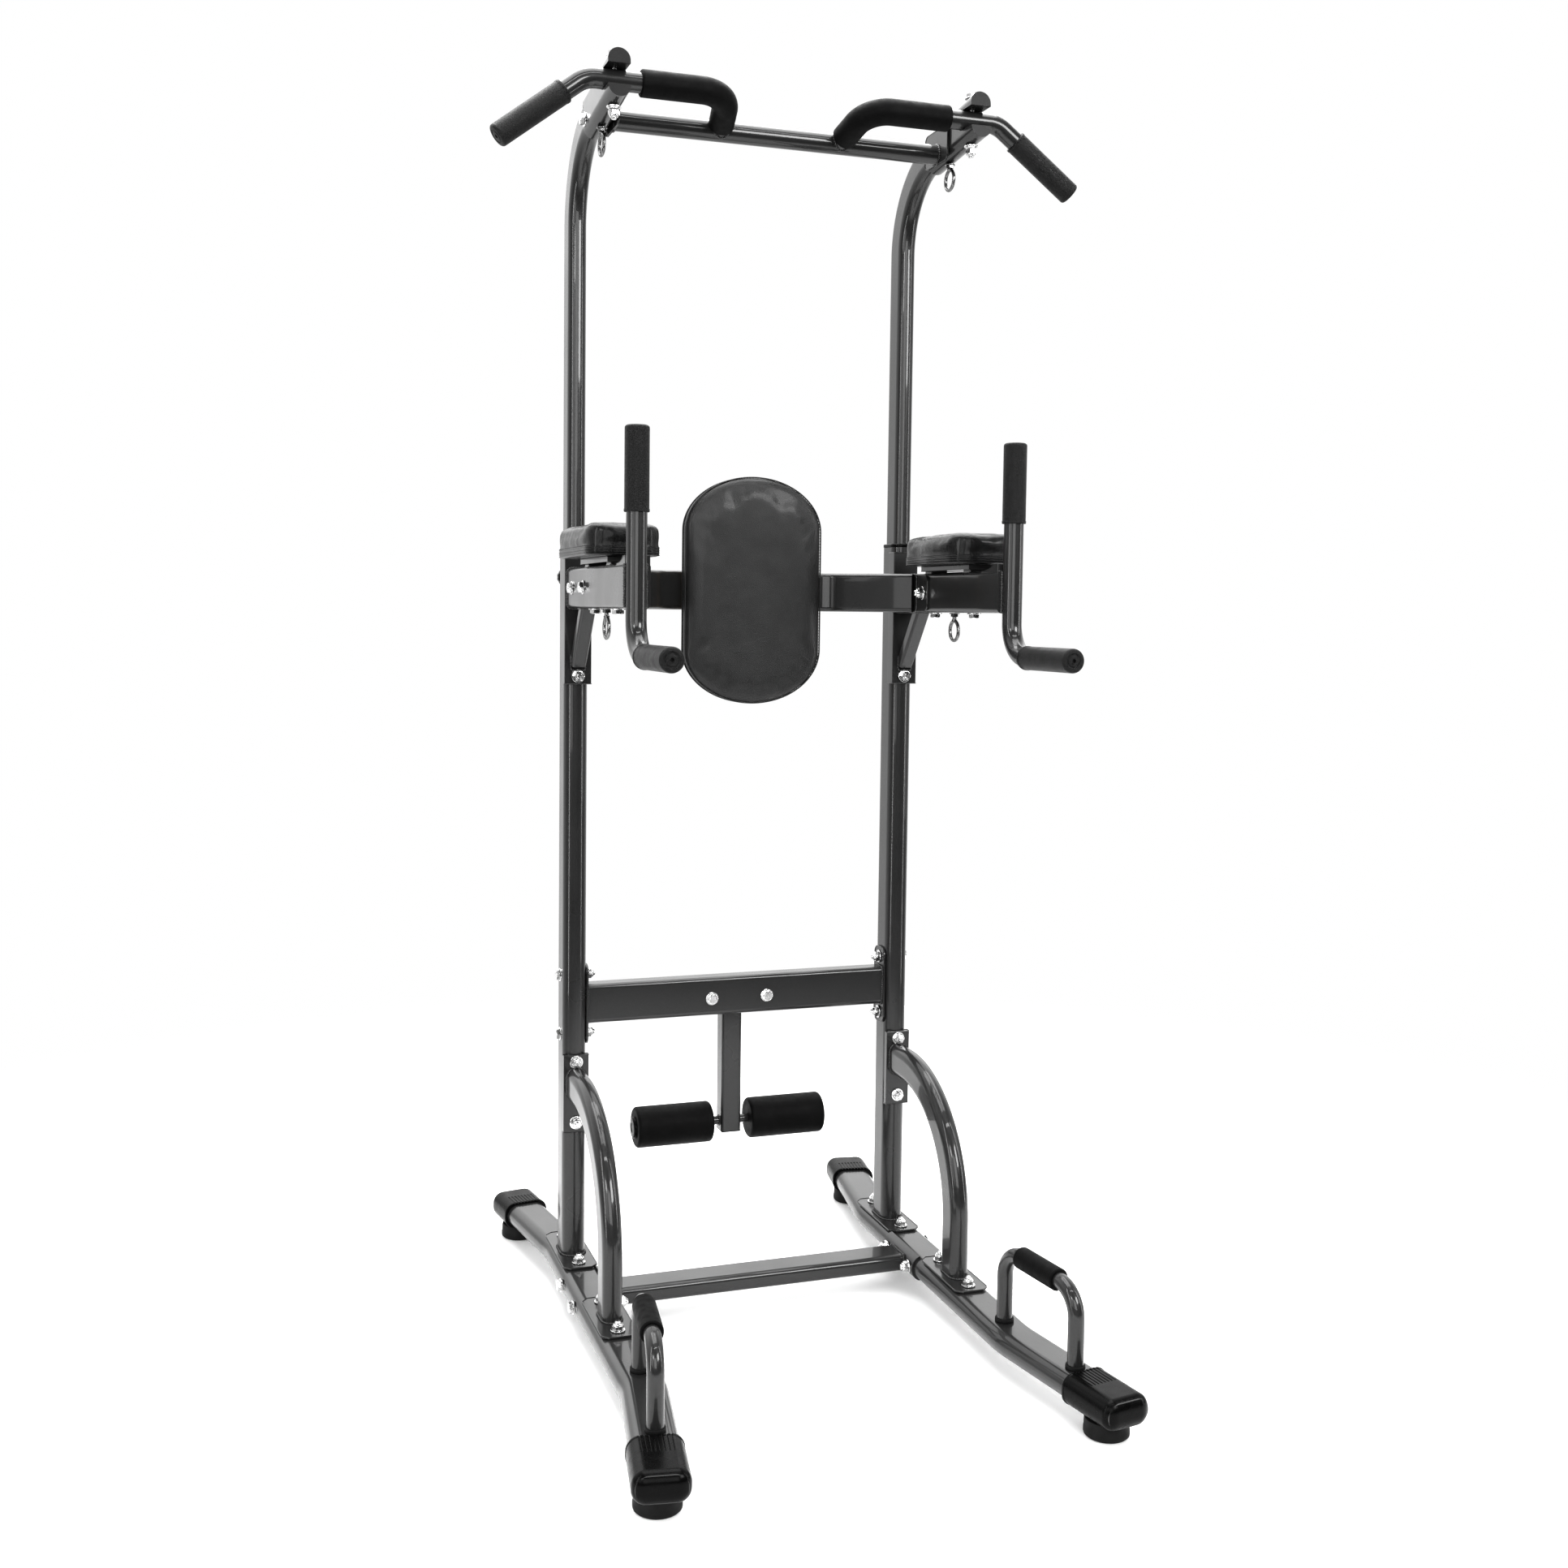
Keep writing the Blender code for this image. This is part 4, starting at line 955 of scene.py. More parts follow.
def build_middle_beam():
    """The beam between the uprights, with a flange on each."""
    reach = RAIL_X - LOWER_WIDTH / 2 - GAP
    outline = rounded_outline(MIDDLE_BEAM_DEPTH, MIDDLE_BEAM_HEIGHT, 0.008)
    shells = [sweep(outline, [(x, UPRIGHT_Y, MIDDLE_BEAM_Z) for x in (-reach + 0.001, reach - 0.001)], UP)]
    beads = []
    bolts = []
    for side, _ in SIDES:
        shells.append(flange(side, reach, (0.048, 0.145, 0.016), UPRIGHT_Y, MIDDLE_BEAM_Z))
        face = side * (reach - PLATE)
        beads.append(bead(outline_at(outline, UPRIGHT_Y, MIDDLE_BEAM_Z, side_plane(face))))
        for z in (MIDDLE_BEAM_Z - FLANGE_BOLT_STEP, MIDDLE_BEAM_Z + FLANGE_BOLT_STEP):
            bolts += bolt((face, UPRIGHT_Y, z), (side * (RAIL_X + LOWER_WIDTH / 2), UPRIGHT_Y, z))
        z = MIDDLE_BEAM_Z - 0.0035
        bolts += bolt((side * POST_BOLT_X, MIDDLE_BEAM_REAR_Y + PLATE + 0.001, z),
                      (side * POST_BOLT_X, UPRIGHT_Y - MIDDLE_BEAM_DEPTH / 2, z))
    add_beam("middle_crossbeam", shells, beads, bolts)


def build_roller_post():
    """The hanging post with its plate, axle, welds and plug."""
    half = POST_WIDTH / 2
    ends = [(0, ROLLER.y, z) for z in (ROLLER.z - half + 0.002, MIDDLE_BEAM_Z + 0.020)]
    post = sweep(rounded_outline(POST_WIDTH, POST_WIDTH, 0.006), ends, AHEAD)
    mount = shifted(rounded_outline(0.150, 0.048, 0.006), 0.0, MIDDLE_BEAM_Z)
    cross_plate = plate(mount, PLATE, front_plane(MIDDLE_BEAM_REAR_Y + PLATE / 2))
    reach = ROLLER_OUTER_X - 0.003
    axle = rod((-reach, ROLLER.y, ROLLER.z), (reach, ROLLER.y, ROLLER.z), AXLE_RADIUS)
    stand_in("roller_post", "tube", [post, cross_plate, axle], PAINT)
    ring = circle(AXLE_RADIUS + 0.0005)
    beads = [bead(outline_at(ring, ROLLER.y, ROLLER.z, side_plane(side * half)), radius=0.0018)
             for side, _ in SIDES]
    plate_face = MIDDLE_BEAM_REAR_Y + PLATE
    for side, _ in SIDES:
        beads.append(bead([(side * (half + 0.0006), plate_face + 0.0006, MIDDLE_BEAM_Z + step)
                           for step in (-0.022, 0.018)], closed=False))
    beads.append(bead([(x, plate_face + 0.0004, MIDDLE_BEAM_Z - 0.0242) for x in (-0.018, 0.018)],
                      closed=False))
    add("roller_post_welds", beads, WELD)
    inner = half - 0.0005
    plug = box((-inner, ROLLER.y - inner, ROLLER.z - half),
               (inner, ROLLER.y + inner, ROLLER.z - half + 0.003))
    add("roller_post_plug", [plug], PLASTIC)


def build_rollers():
    """The foam rollers and their end caps, each turning on the axle."""
    bore = AXLE_RADIUS + 0.0004
    length = ROLLER_OUTER_X - ROLLER_INNER_X
    edge = 0.006
    foam = [(bore, 0.0), (ROLLER_RADIUS - edge, 0.0)]
    for degrees in range(15, 91, 15):
        angle = radians(degrees)
        foam.append((ROLLER_RADIUS - edge * (1 - sin(angle)), edge * (1 - cos(angle))))
    for degrees in range(0, 90, 15):
        angle = radians(degrees)
        foam.append((ROLLER_RADIUS - edge * (1 - cos(angle)), length - edge * (1 - sin(angle))))
    foam += [(ROLLER_RADIUS - edge, length), (bore, length)]
    cap = [(0.0, 0.0), (0.020, 0.0), (0.020, 0.0022), (0.0186, 0.0042), (0.0160, 0.0050),
           (0.0090, 0.0050), (0.0082, 0.0042), (0.0, 0.0042)]
    for side, word in SIDES:
        turn = Matrix.Rotation(side * pi / 2, 4, 'Y')
        inner, outer = (Matrix.Translation((side * x, ROLLER.y, ROLLER.z)) @ turn
                        for x in (ROLLER_INNER_X, ROLLER_OUTER_X + GAP))
        body = "roller_" + word
        stand_in("foam_roller_" + word, "foam", [turned(foam, inner, 64, True)], FOAM, body)
        stand_in("roller_end_cap_" + word, "moulding", [turned(cap, outer)], PLASTIC, body)


# ---- arms and back rest ----
def dip_path(side):
    """The centreline of a dip handle, from the top of its hand grip to its front end."""
    x = side * DIP_X
    top = high("dip_handle_right").z
    front = low("dip_handle_right").y
    return fillet_path([(x, DIP_Y, top), (x, DIP_Y, DIP_LOW), (x, front, DIP_LOW)], 0.055, 28)


def capped_grip(open_end, closed_end, radius):
    """A straight rubber grip: a lip at its open end, a rounded end with a vent hole at the other."""
    open_end, closed_end = Vector(open_end), Vector(closed_end)
    length = (closed_end - open_end).length
    profile = [(TUBE_RADIUS - 0.001, 0.0), (radius - 0.0008, 0.0), (radius, 0.0008), (radius, 0.0042),
               (radius - 0.0006, 0.0050), (radius - 0.0006, length - 0.0050)]
    for degrees in (20, 40, 60, 80):
        angle = radians(degrees)
        profile.append((radius - 0.0006 - 0.0045 * (1 - cos(angle)), length - 0.0050 + 0.0045 * sin(angle)))
    profile += [(0.0125, length - 0.0003), (0.0112, length - 0.0012), (0.0098, length - 0.0012),
                (0.0086, length - 0.0002), (0.0036, length), (0.0028, length - 0.0006),
                (0.0026, length - 0.0035), (0.0, length - 0.0035)]
    return turned(profile, pointing(open_end, closed_end - open_end), 48)


def build_eye_bolt(node, x, body):
    """A wire eye with its shank, nut and washer, hanging from a flat underside."""
    y = middle(node).y
    top_z = high(node).z
    ring_z = low(node).z + RING_RADIUS + RING_WIRE
    loop = [Vector((x, y + RING_RADIUS * sin(angle), ring_z + RING_RADIUS * cos(angle)))
            for angle in turns(48)]
    neck = ring_z + RING_RADIUS + 0.001
    down = pointing((x, y, top_z), -UP)
    shells = [sweep(circle(RING_WIRE, 16), loop, closed=True),
              rod((x, y, neck - 0.002), (x, y, top_z), 0.0035, 20),
              moved(washer(0.009, 0.0, 0.0016), down)]
    if top_z - neck > 0.006:
        shells.append(moved(hex_body(0.012, 0.0016, min(0.0065, top_z - neck)), down))
    shells.append(turned([(0.0, neck + 0.002), (0.0042, neck + 0.002), (0.0050, neck), (0.0042, neck - 0.003),
                          (0.0, neck - 0.003)], Matrix.Translation((x, y, 0)), 20))
    stand_in(node, "wire", shells, DARK_STEEL, body)


def arm_shells(side):
    """The arm's tube, bracket, pad plate (a real mount, made thick so its dark paint fills the shaded gap
    under the pad), end gusset and spacers, with the strut under it.
    """
    x = side * ARM_X
    tube = sweep(rounded_outline(ARM_HEIGHT, ARM_WIDTH, 0.008),
                 [(x, BRACKET_Y + 0.002, ARM_Z), (x, DIP_Y + 0.006, ARM_Z)], ACROSS)
    half = LOWER_WIDTH / 2 + PLATE + GAP
    bracket = box((x - half, BRACKET_Y, BRACKET_LOW), (x + half, BRACKET_Y + 0.027, BRACKET_HIGH), 0.0014)
    bracket = carve([bracket], [upright_core(side, BRACKET_LOW - 0.05, BRACKET_HIGH + 0.05)])
    strut = sweep(rounded_outline(0.022, 0.026, 0.005),
                  [(x, BRACKET_Y + 0.001, STRUT_FOOT_Z), (x, STRUT_TOP_Y, ARM_BOTTOM + 0.006)], ACROSS)
    spacers = [box((x - 0.017, y - 0.015, ARM_TOP - 0.002), (x + 0.017, y + 0.015, PAD_LOW.z - 0.002), 0.0015)
               for y in PAD_BOLTS]
    # The pad plate is a real mount, but it is made thick so that its dark paint fills the gap under the pad
    # where there is only shade.
    shade_filling_pad_plate = box((x - 0.024, PAD_LOW.y + 0.030, PAD_LOW.z - 0.0090),
                    (x + 0.024, PAD_HIGH.y - 0.030, PAD_LOW.z - GAP))
    return [tube, bracket, strut, shade_filling_pad_plate, gusset(x)] + spacers


def gusset(x):
    """The rounded plate on an arm's end, against its handle."""
    start_y = DIP_Y + 0.008
    end_y = start_y + 0.062
    rise = PAD_LOW.z - GAP - ARM_TOP - 0.001
    points = [Vector((start_y, ARM_TOP - 0.004)), Vector((end_y, ARM_TOP - 0.004))]
    for step in range(9):
        angle = pi / 2 * step / 8
        points.append(Vector((end_y - 0.040 * sin(angle), ARM_TOP + rise * (1 - cos(angle)))))
    points.append(Vector((start_y, ARM_TOP + rise)))
    return plate(points, ARM_WIDTH - 0.0006, side_plane(x))


def arm_welds(side):
    """The beads on one arm."""
    x = side * ARM_X
    wall = front_plane(BRACKET_Y)
    underside = floor_plane(ARM_BOTTOM)
    strut_foot = rounded_outline(0.026, 0.028, 0.005)
    beads = [bead(outline_at(rounded_outline(ARM_WIDTH, ARM_HEIGHT, 0.008), x, ARM_Z, wall)),
             bead(outline_at(strut_foot, x, STRUT_FOOT_Z + 0.0015, wall), radius=0.0018),
             bead(outline_at(strut_foot, x, STRUT_TOP_Y + 0.0075, underside), radius=0.0018)]
    for across in (-0.0165, 0.0165):
        ends = [(side * DIP_X + across, DIP_Y + 0.0050, ARM_Z + z) for z in (-0.034, 0.034)]
        beads.append(bead(ends, closed=False, radius=0.0028))
    return beads


def build_arms():
    """The arms with their welds, handles, grips, eye bolts and bolts."""
    for side, word in SIDES:
        x = side * ARM_X
        stand_in("arm_" + word, "weldment", arm_shells(side), PAINT)
        add("arm_welds_" + word, arm_welds(side), WELD)
        stand_in("dip_handle_" + word, "tube", [round_tube(dip_path(side), TUBE_RADIUS, 40)], PAINT)
        for node, direction in (("hand_grip_" + word, UP), ("dip_grip_" + word, -AHEAD)):
            half = direction * abs((high(node) - low(node)).dot(direction)) / 2
            grip = capped_grip(middle(node) - half, middle(node) + half, GRIP_RADIUS)
            stand_in(node, "rubber", [grip], PEBBLED)
        build_eye_bolt("arm_eye_bolt_" + word, x, BASE)
        bolts = bolt((x, BRACKET_Y, BRACKET_LOW + 0.015), (x, REAR_FACE_Y, BRACKET_LOW + 0.015))
        bolts.append(((x, REAR_FACE_Y, BRACKET_HIGH - 0.018), AHEAD, HEAD_SHELLS))
        bolts += [((x, y, ARM_BOTTOM), -UP, HEAD_SHELLS) for y in PAD_BOLTS]
        for y in ARM_BOLTS:
            bolts += bolt((x - side * (ARM_WIDTH / 2 + GAP + PLATE), y, ARM_Z),
                          (x + side * ARM_WIDTH / 2, y, ARM_Z))
        fasteners("arm_bolts_" + word, bolts)


def build_back_beam():
    """The bent beam behind the back rest, with a flange on each arm."""
    reach = ARM_X - ARM_WIDTH / 2 - GAP
    path = fillet_path([(-reach, BACK_BEAM_END_Y, ARM_Z), (-0.160, BACK_BEAM_Y, ARM_Z),
                        (0.160, BACK_BEAM_Y, ARM_Z), (reach, BACK_BEAM_END_Y, ARM_Z)], 0.070)
    beam = sweep(rounded_outline(BEAM_DEPTH, ARM_HEIGHT, 0.008), path, UP)
    ends = [block((side * (reach - 0.002), 0.0, 1.1), (side * 0.40, 0.3, 1.4)) for side, _ in SIDES]
    shells = [carve([beam], ends)]
    section = rounded_outline(0.0468, ARM_HEIGHT - 0.004, 0.009)
    beads = []
    bolts = []
    for side, _ in SIDES:
        shells.append(flange(side, reach, (0.130, 0.066, 0.014), BACK_BEAM_END_Y, ARM_Z))
        wall = side_plane(side * (reach - PLATE))
        beads.append(bead(outline_at(section, BACK_BEAM_END_Y + 0.003, ARM_Z, wall)))
        bolts += [((side * 0.060, BACK_BEAM_Y + BEAM_DEPTH / 2, ARM_Z + step), AHEAD, HEAD_SHELLS)
                  for step in (-0.022, 0.022)]
    add_beam("back_beam", shells, beads, bolts)


# ---- padding ----
def inflated(form, fixed, limit, voxel, smoothing=3):
    """A padded form: remeshed, then swollen by a short cloth simulation with its fixed points held."""
    scene = bpy.context.scene
    pad = new_object(mesh_of([form]))
    remesh = pad.modifiers.new("Remesh", 'REMESH')
    remesh.mode = 'VOXEL'
    remesh.voxel_size = voxel
    mesh = evaluated(pad)
    pad.modifiers.clear()
    pad.data = mesh
    start = [vertex.co.copy() for vertex in mesh.vertices]
    group = pad.vertex_groups.new(name="held")
    group.add([index for index, point in enumerate(start) if fixed(point)], 1.0, 'REPLACE')
    cloth = pad.modifiers.new("Cloth", 'CLOTH')
    cloth.settings.use_pressure = True
    cloth.settings.uniform_pressure_force = 4.0
    cloth.settings.effector_weights.gravity = 0.0
    cloth.settings.vertex_group_mass = "held"
    for step in range(1, 21):
        scene.frame_set(step)
    swollen = evaluated(pad)
    pad.modifiers.clear()
    for vertex, begin, target in zip(mesh.vertices, start, swollen.vertices):
        shift = target.co - begin
        if shift.length > limit:
            shift *= limit / shift.length
        vertex.co = begin + shift
    scene.frame_set(1)
    smooth = pad.modifiers.new("Smooth", 'SMOOTH')
    smooth.factor = 0.5
    smooth.iterations = smoothing
    pad.data = evaluated(pad)
    pad.modifiers.clear()
    pad.vertex_groups.clear()
    return pad


def cover(pad, node, material):
    """Name a padded piece, give it one level of subdivision and say what it stands for."""
    pad.name = pad.data.name = node + "_cover"
    fine = pad.modifiers.new("Fine", 'SUBSURF')
    fine.levels = 1
    fine.render_levels = 1
    finish(pad, material, BASE, node)


def piping(outline, placement, depth, radius):
    """A thin raised cord sewn along an outline."""
    loop = resampled(placed(outline, placement, depth), 0.004, True)
    return sweep(circle(radius, 10), loop, closed=True)


def stitches(outline, placement, depth):
    """A row of sewn stitches along an outline, each a short round thread."""
    loop = resampled(placed(outline, placement, depth), STITCH_PITCH, True)
    shells = []
    for index, point in enumerate(loop):
        thread = (loop[(index + 1) % len(loop)] - point).normalized() * STITCH_LENGTH
        knots = [point + thread * share for share in (-0.5, -0.42, 0.0, 0.42, 0.5)]
        shells.append(sweep(circle(THREAD_RADIUS, 6), knots, scales=[0.35, 0.85, 1.0, 0.85, 0.35]))
    return shells


def clamped(value):
    """The value, kept between 0 and 1."""
    return max(0.0, min(1.0, value))


def spread(loop, count):
    """A closed outline with exactly this many evenly spaced points."""
    perimeter = sum((loop[index] - loop[index - 1]).length for index in range(len(loop)))
    points = resampled([point.to_3d() for point in loop], perimeter / count, True)
    return [point.xy for point in points[:count]]


def arm_pad_outline(side, shrink):
    """Top view of an arm pad: its inner side steps in, in an S-curve, towards the back."""
    centre = (PAD_LOW + PAD_HIGH) / 2
    width, length = (PAD_HIGH - PAD_LOW).xy
    outline = rounded_outline(width - 2 * shrink, length - 2 * shrink, 0.034 - shrink)
    points = []
    for point in resampled([point.to_3d() for point in outline], 0.005, True):
        share = clamped((point.y / length + 0.08) / 0.32)
        draw = 0.009 * (3 * share ** 2 - 2 * share ** 3)
        inner = clamped(0.5 - side * point.x / (width / 2))
        points.append(Vector((point.x + side * draw * inner + side * centre.x, point.y + centre.y)))
    return points


def arm_pad_form(side):
    """The starting form of an arm pad: a flat underside, a sewn band and a soft top edge."""
    thick = PAD_HIGH.z - PAD_LOW.z
    levels = [(0.0040, 0.0), (0.0012, 0.0010), (0.0006, 0.0030), (0.0006, 0.0135), (0.0024, 0.0155),
              (0.0018, 0.0200), (0.0012, 0.0300), (0.0014, thick - 0.0110), (0.0034, thick - 0.0058),
              (0.0075, thick - 0.0030), (0.0160, thick - 0.0020)]
    count = len(arm_pad_outline(side, 0.0))
    return loft([placed(spread(arm_pad_outline(side, shrink), count), floor_plane(PAD_LOW.z), rise)
                 for shrink, rise in levels])


def build_arm_pads():
    """The arm pads, each with two rows of piping and stitches round its band."""
    band_top = PAD_LOW.z + 0.0158
    under = floor_plane(PAD_LOW.z)
    for side, word in SIDES:
        pad = inflated(arm_pad_form(side), lambda point: point.z < band_top, 0.0022, 0.0040)
        centre = (PAD_LOW + PAD_HIGH) / 2 * Vector((side, 1, 1))
        for vertex in pad.data.vertices:
            crease = noise.noise(Vector((vertex.co.x * 60, vertex.co.y * 60, vertex.co.z * 14)))
            if vertex.co.z > band_top:
                vertex.co += (vertex.co - centre).normalized() * (crease * 0.0006)
        cover(pad, "arm_pad_" + word, GLOSSY_LEATHER)
        cords = [piping(arm_pad_outline(side, 0.0012), under, rise, 0.0010)
                 for rise in (0.0026, 0.0060, 0.0098, 0.0132)]
        add("arm_pad_" + word + "_piping", cords, GLOSSY_LEATHER)
        rows = [shell for rise in (0.0079, 0.0150)
                for shell in stitches(arm_pad_outline(side, 0.0010), under, rise)]
        add("arm_pad_" + word + "_stitches", rows, THREAD)


def back_outline(shrink):
    """The back rest's outline: straight sides, with arched top and bottom."""
    half_width = (BACK_HIGH.x - BACK_LOW.x) / 2 - shrink
    arch = (BACK_HIGH.z - BACK_LOW.z) / 2 - shrink - BACK_STRAIGHT
    centre_z = (BACK_HIGH.z + BACK_LOW.z) / 2
    points = []
    for step in range(240):
        angle = 2 * pi * (step + 0.5) / 240
        end_z = BACK_STRAIGHT if step < 120 else -BACK_STRAIGHT
        points.append(Vector((half_width * cos(angle), centre_z + end_z + arch * sin(angle))))
    return points


def build_back_pad():
    """The back pad with its piping and stitches, on its plywood board."""
    place = front_plane(BACK_HIGH.y)
    thick = BACK_HIGH.y - BACK_LOW.y
    seam_y = BACK_LOW.y + 0.0140
    levels = [(0.0060, 0.0), (0.0020, 0.0010), (0.0010, 0.0035), (0.0008, 0.0060), (0.0020, 0.0090),
              (0.0018, thick - 0.0200), (0.0008, thick - 0.0150), (0.0020, thick - 0.0115),
              (0.0062, thick - 0.0062), (0.0130, thick - 0.0036), (0.0300, thick - 0.0022)]
    form = loft([placed(spread(back_outline(shrink), 200), place, depth) for shrink, depth in levels])
    pad = inflated(form, lambda point: point.y > seam_y, 0.0026, 0.0048, 9)
    for vertex in pad.data.vertices:
        crease = noise.noise(vertex.co * 20) + 0.5 * noise.noise(vertex.co * 45)
        vertex.co.y += crease * 0.0004 if vertex.co.y < seam_y else 0.0
    cover(pad, "back_pad", LEATHER)
    cords = [piping(back_outline(0.0016), place, depth, 0.0012) for depth in (0.0062, thick - 0.0148)]
    add("back_pad_piping", cords, LEATHER)
    rows = [shell for depth in (0.0095, thick - 0.0182)
            for shell in stitches(back_outline(0.0017), place, depth)]
    add("back_pad_stitches", rows, THREAD)
    board = "back_pad_board"
    sheet = plate(spread(back_outline(0.006), 160), high(board).y - low(board).y,
                  front_plane(middle(board).y), 0.0012)
    stand_in(board, "plywood", [sheet], PLYWOOD)


# ---- telescoping top ----
def sleeve_z(y):
    """Height of the top sleeve's centreline at this Y."""
    return BAR_Z - 0.002 + (BAR_Y - y) * tan(SLEEVE_SLOPE)


def upper_tube(side):
    """The sliding tube that curves forward at its top, with its row of adjusting holes."""
    x = side * RAIL_X
    knee_z = sleeve_z(SLEEVE_START_Y) - (UPRIGHT_Y - SLEEVE_START_Y) * tan(SLEEVE_SLOPE)
    path = fillet_path([(x, UPRIGHT_Y, UPPER_BOTTOM), (x, UPRIGHT_Y, knee_z),
                        (x, SLEEVE_START_Y, sleeve_z(SLEEVE_START_Y))], UPPER_BEND, 36)
    tube = sweep(oval(UPPER_DEPTH, UPPER_WIDTH), path, ACROSS)
    rear = UPRIGHT_Y + UPPER_DEPTH / 2
    heights = [PIN_Z + index * HOLE_PITCH for index in range(HOLE_COUNT)]
    holes = [rod((x, rear - 0.012, z), (x, rear + 0.010, z), PIN_HOLE, 24) for z in heights]
    return carve([tube], holes)


def sleeve(side):
    """The end tube whose slotted mouth holds a pull-up bar."""
    x = side * RAIL_X
    ends = [(x, y, sleeve_z(y)) for y in (SLEEVE_START_Y, SLEEVE_FRONT_Y)]
    tube = sweep(oval(SLEEVE_DEPTH, SLEEVE_WIDTH), ends, ACROSS)
    seat = TUBE_RADIUS + RUNNING_GAP
    seat_hole = rod((x - 0.05, BAR_Y, BAR_Z), (x + 0.05, BAR_Y, BAR_Z), seat, 48)
    mouth = block((x - 0.05, SLEEVE_FRONT_Y - 0.05, BAR_Z - seat), (x + 0.05, BAR_Y, BAR_Z + seat))
    return carve([carve([tube], [seat_hole])], [mouth])


def bar_corners(side):
    """The centreline of one pull-up bar, from its outer grip to the crossbar's axis."""
    return [point * Vector((side, 1, 1)) for point in (
        BAR_END, Vector((0.357, BAR_Y, BAR_Z)), Vector((BAR_INNER_X, BAR_Y, BAR_Z)),
        Vector((BAR_INNER_X - 0.016, CROSSBAR_Y, CROSSBAR_Z)))]


def clamp_bolt(side):
    """The long bolt through a top sleeve and its pull-up bar."""
    half = SLEEVE_DEPTH / 2 / cos(SLEEVE_SLOPE)
    top, bottom = (Vector((side * RAIL_X, BAR_Y, sleeve_z(BAR_Y) + rise)) for rise in (half, -half))
    shells = [moved(shell, pointing(top, UP)) for shell in HEAD_SHELLS]
    shells.append(moved(washer(0.0092, 0.0, 0.0022), pointing(bottom - UP * 0.0020, -UP)))
    shells.append(moved(washer(0.012, 0.0, 0.0020), pointing(bottom, -UP)))
    shells += [moved(shell, pointing(bottom - UP * 0.0042, -UP)) for shell in NUT_SHELLS[1:]]
    shells.append(rod(bottom, top, BOLT_RADIUS, 24))
    return shells


def build_lock_pin(side, word):
    """A pull pin with its fluted knob, drawn out of its hole."""
    x = side * RAIL_X
    node = "lock_knob_" + word
    body = "lock_pin_" + word
    knob_start = high(node).y - KNOB_LENGTH
    place = pointing((x, knob_start, PIN_Z), AHEAD)
    rings = []
    for radius, depth, flute in (
            (0.0085, 0.0, 0), (0.0120, 0.0006, 0), (0.0152, 0.0040, 1), (0.0163, 0.0065, 1),
            (0.0163, 0.0170, 1), (0.0155, 0.0192, 1), (0.0135, 0.0212, 0), (0.0100, KNOB_LENGTH, 0)):
        ring = []
        for angle in turns(72):
            reach = radius - flute * 0.0008 * (0.5 + 0.5 * cos(angle * 12))
            ring.append(Vector((reach * cos(angle), reach * sin(angle))))
        rings.append(placed(ring, place, depth))
    stand_in(node, "moulding", [loft(rings)], PLASTIC, body)
    pin = rod((x, low(node).y, PIN_Z), (x, knob_start + 0.002, PIN_Z), PIN_RADIUS, 24)
    add(body + "_steel", [pin], ZINC, body)


def build_top():
    """The sliding tubes, sleeves, pull-up bars and grips of both sides, and the pull pins."""
    for side, word in SIDES:
        x = side * RAIL_X
        stand_in("upper_upright_" + word, "tube", [upper_tube(side)], PAINT, TOP)
        stand_in("top_sleeve_" + word, "tube", [sleeve(side)], PAINT, TOP)
        corners = bar_corners(side)
        outward = (corners[0] - corners[1]).normalized()
        bar_path = fillet_path([corners[0] - outward * CAP_WALL] + corners[1:], BAR_BEND)
        stand_in("pull_up_bar_" + word, "tube", [round_tube(bar_path, TUBE_RADIUS, 40)], PAINT, TOP)
        grip = capped_grip(corners[0] - outward * WIDE_GRIP_LENGTH, corners[0], GRIP_RADIUS)
        stand_in("wide_grip_" + word, "rubber", [grip], PEBBLED, TOP)
        foam_path = fillet_path([(side * FOAM_START_X, BAR_Y, BAR_Z), corners[2],
                                 corners[2].lerp(corners[3], 0.82)], BAR_BEND)
        stand_in("foam_grip_" + word, "foam", [soft_tube(foam_path, 0.0215, 0.003)], FOAM, TOP)
        stand_in("clamp_bolt_" + word, "steel", clamp_bolt(side), ZINC, TOP)
        build_eye_bolt("top_eye_bolt_" + word, x, TOP)
        build_lock_pin(side, word)
        place = (x + side * SLEEVE_WIDTH / 2, CROSSBAR_Y + 0.034, CROSSBAR_Z + 0.006)
        fasteners("top_sleeve_bolts_" + word, [(place, ACROSS * side, HEAD_SHELLS)], TOP)


def build_crossbar():
    """The round bar between the sleeves, its flanges, and the welds of the whole top."""
    reach = RAIL_X - SLEEVE_WIDTH / 2 - GAP
    shells = [rod((-reach, CROSSBAR_Y, CROSSBAR_Z), (reach, CROSSBAR_Y, CROSSBAR_Z), CROSSBAR_RADIUS, 40)]
    beads = []
    for side, _ in SIDES:
        shells.append(flange(side, reach, (0.095, 0.060, 0.012), CROSSBAR_Y, CROSSBAR_Z + 0.012))
        wall = side_plane(side * (reach - PLATE))
        beads.append(bead(outline_at(circle(CROSSBAR_RADIUS), CROSSBAR_Y, CROSSBAR_Z, wall)))
        corners = bar_corners(side)
        beads.append(bead(saddle_loop(corners[3], corners[2] - corners[3], TUBE_RADIUS)))
        joint = pointing((side * RAIL_X, SLEEVE_START_Y, sleeve_z(SLEEVE_START_Y)),
                         (0, cos(SLEEVE_SLOPE), -sin(SLEEVE_SLOPE)))
        # The drawing plane may come out either way round, so the section is turned to suit.
        upright = abs(joint[2][1]) > 0.5
        section = oval(UPPER_WIDTH, UPPER_DEPTH) if upright else oval(UPPER_DEPTH, UPPER_WIDTH)
        beads.append(bead(placed(section, joint)))
    stand_in("top_crossbar", "tube", shells, PAINT, TOP)
    add("top_welds", beads, WELD, TOP)


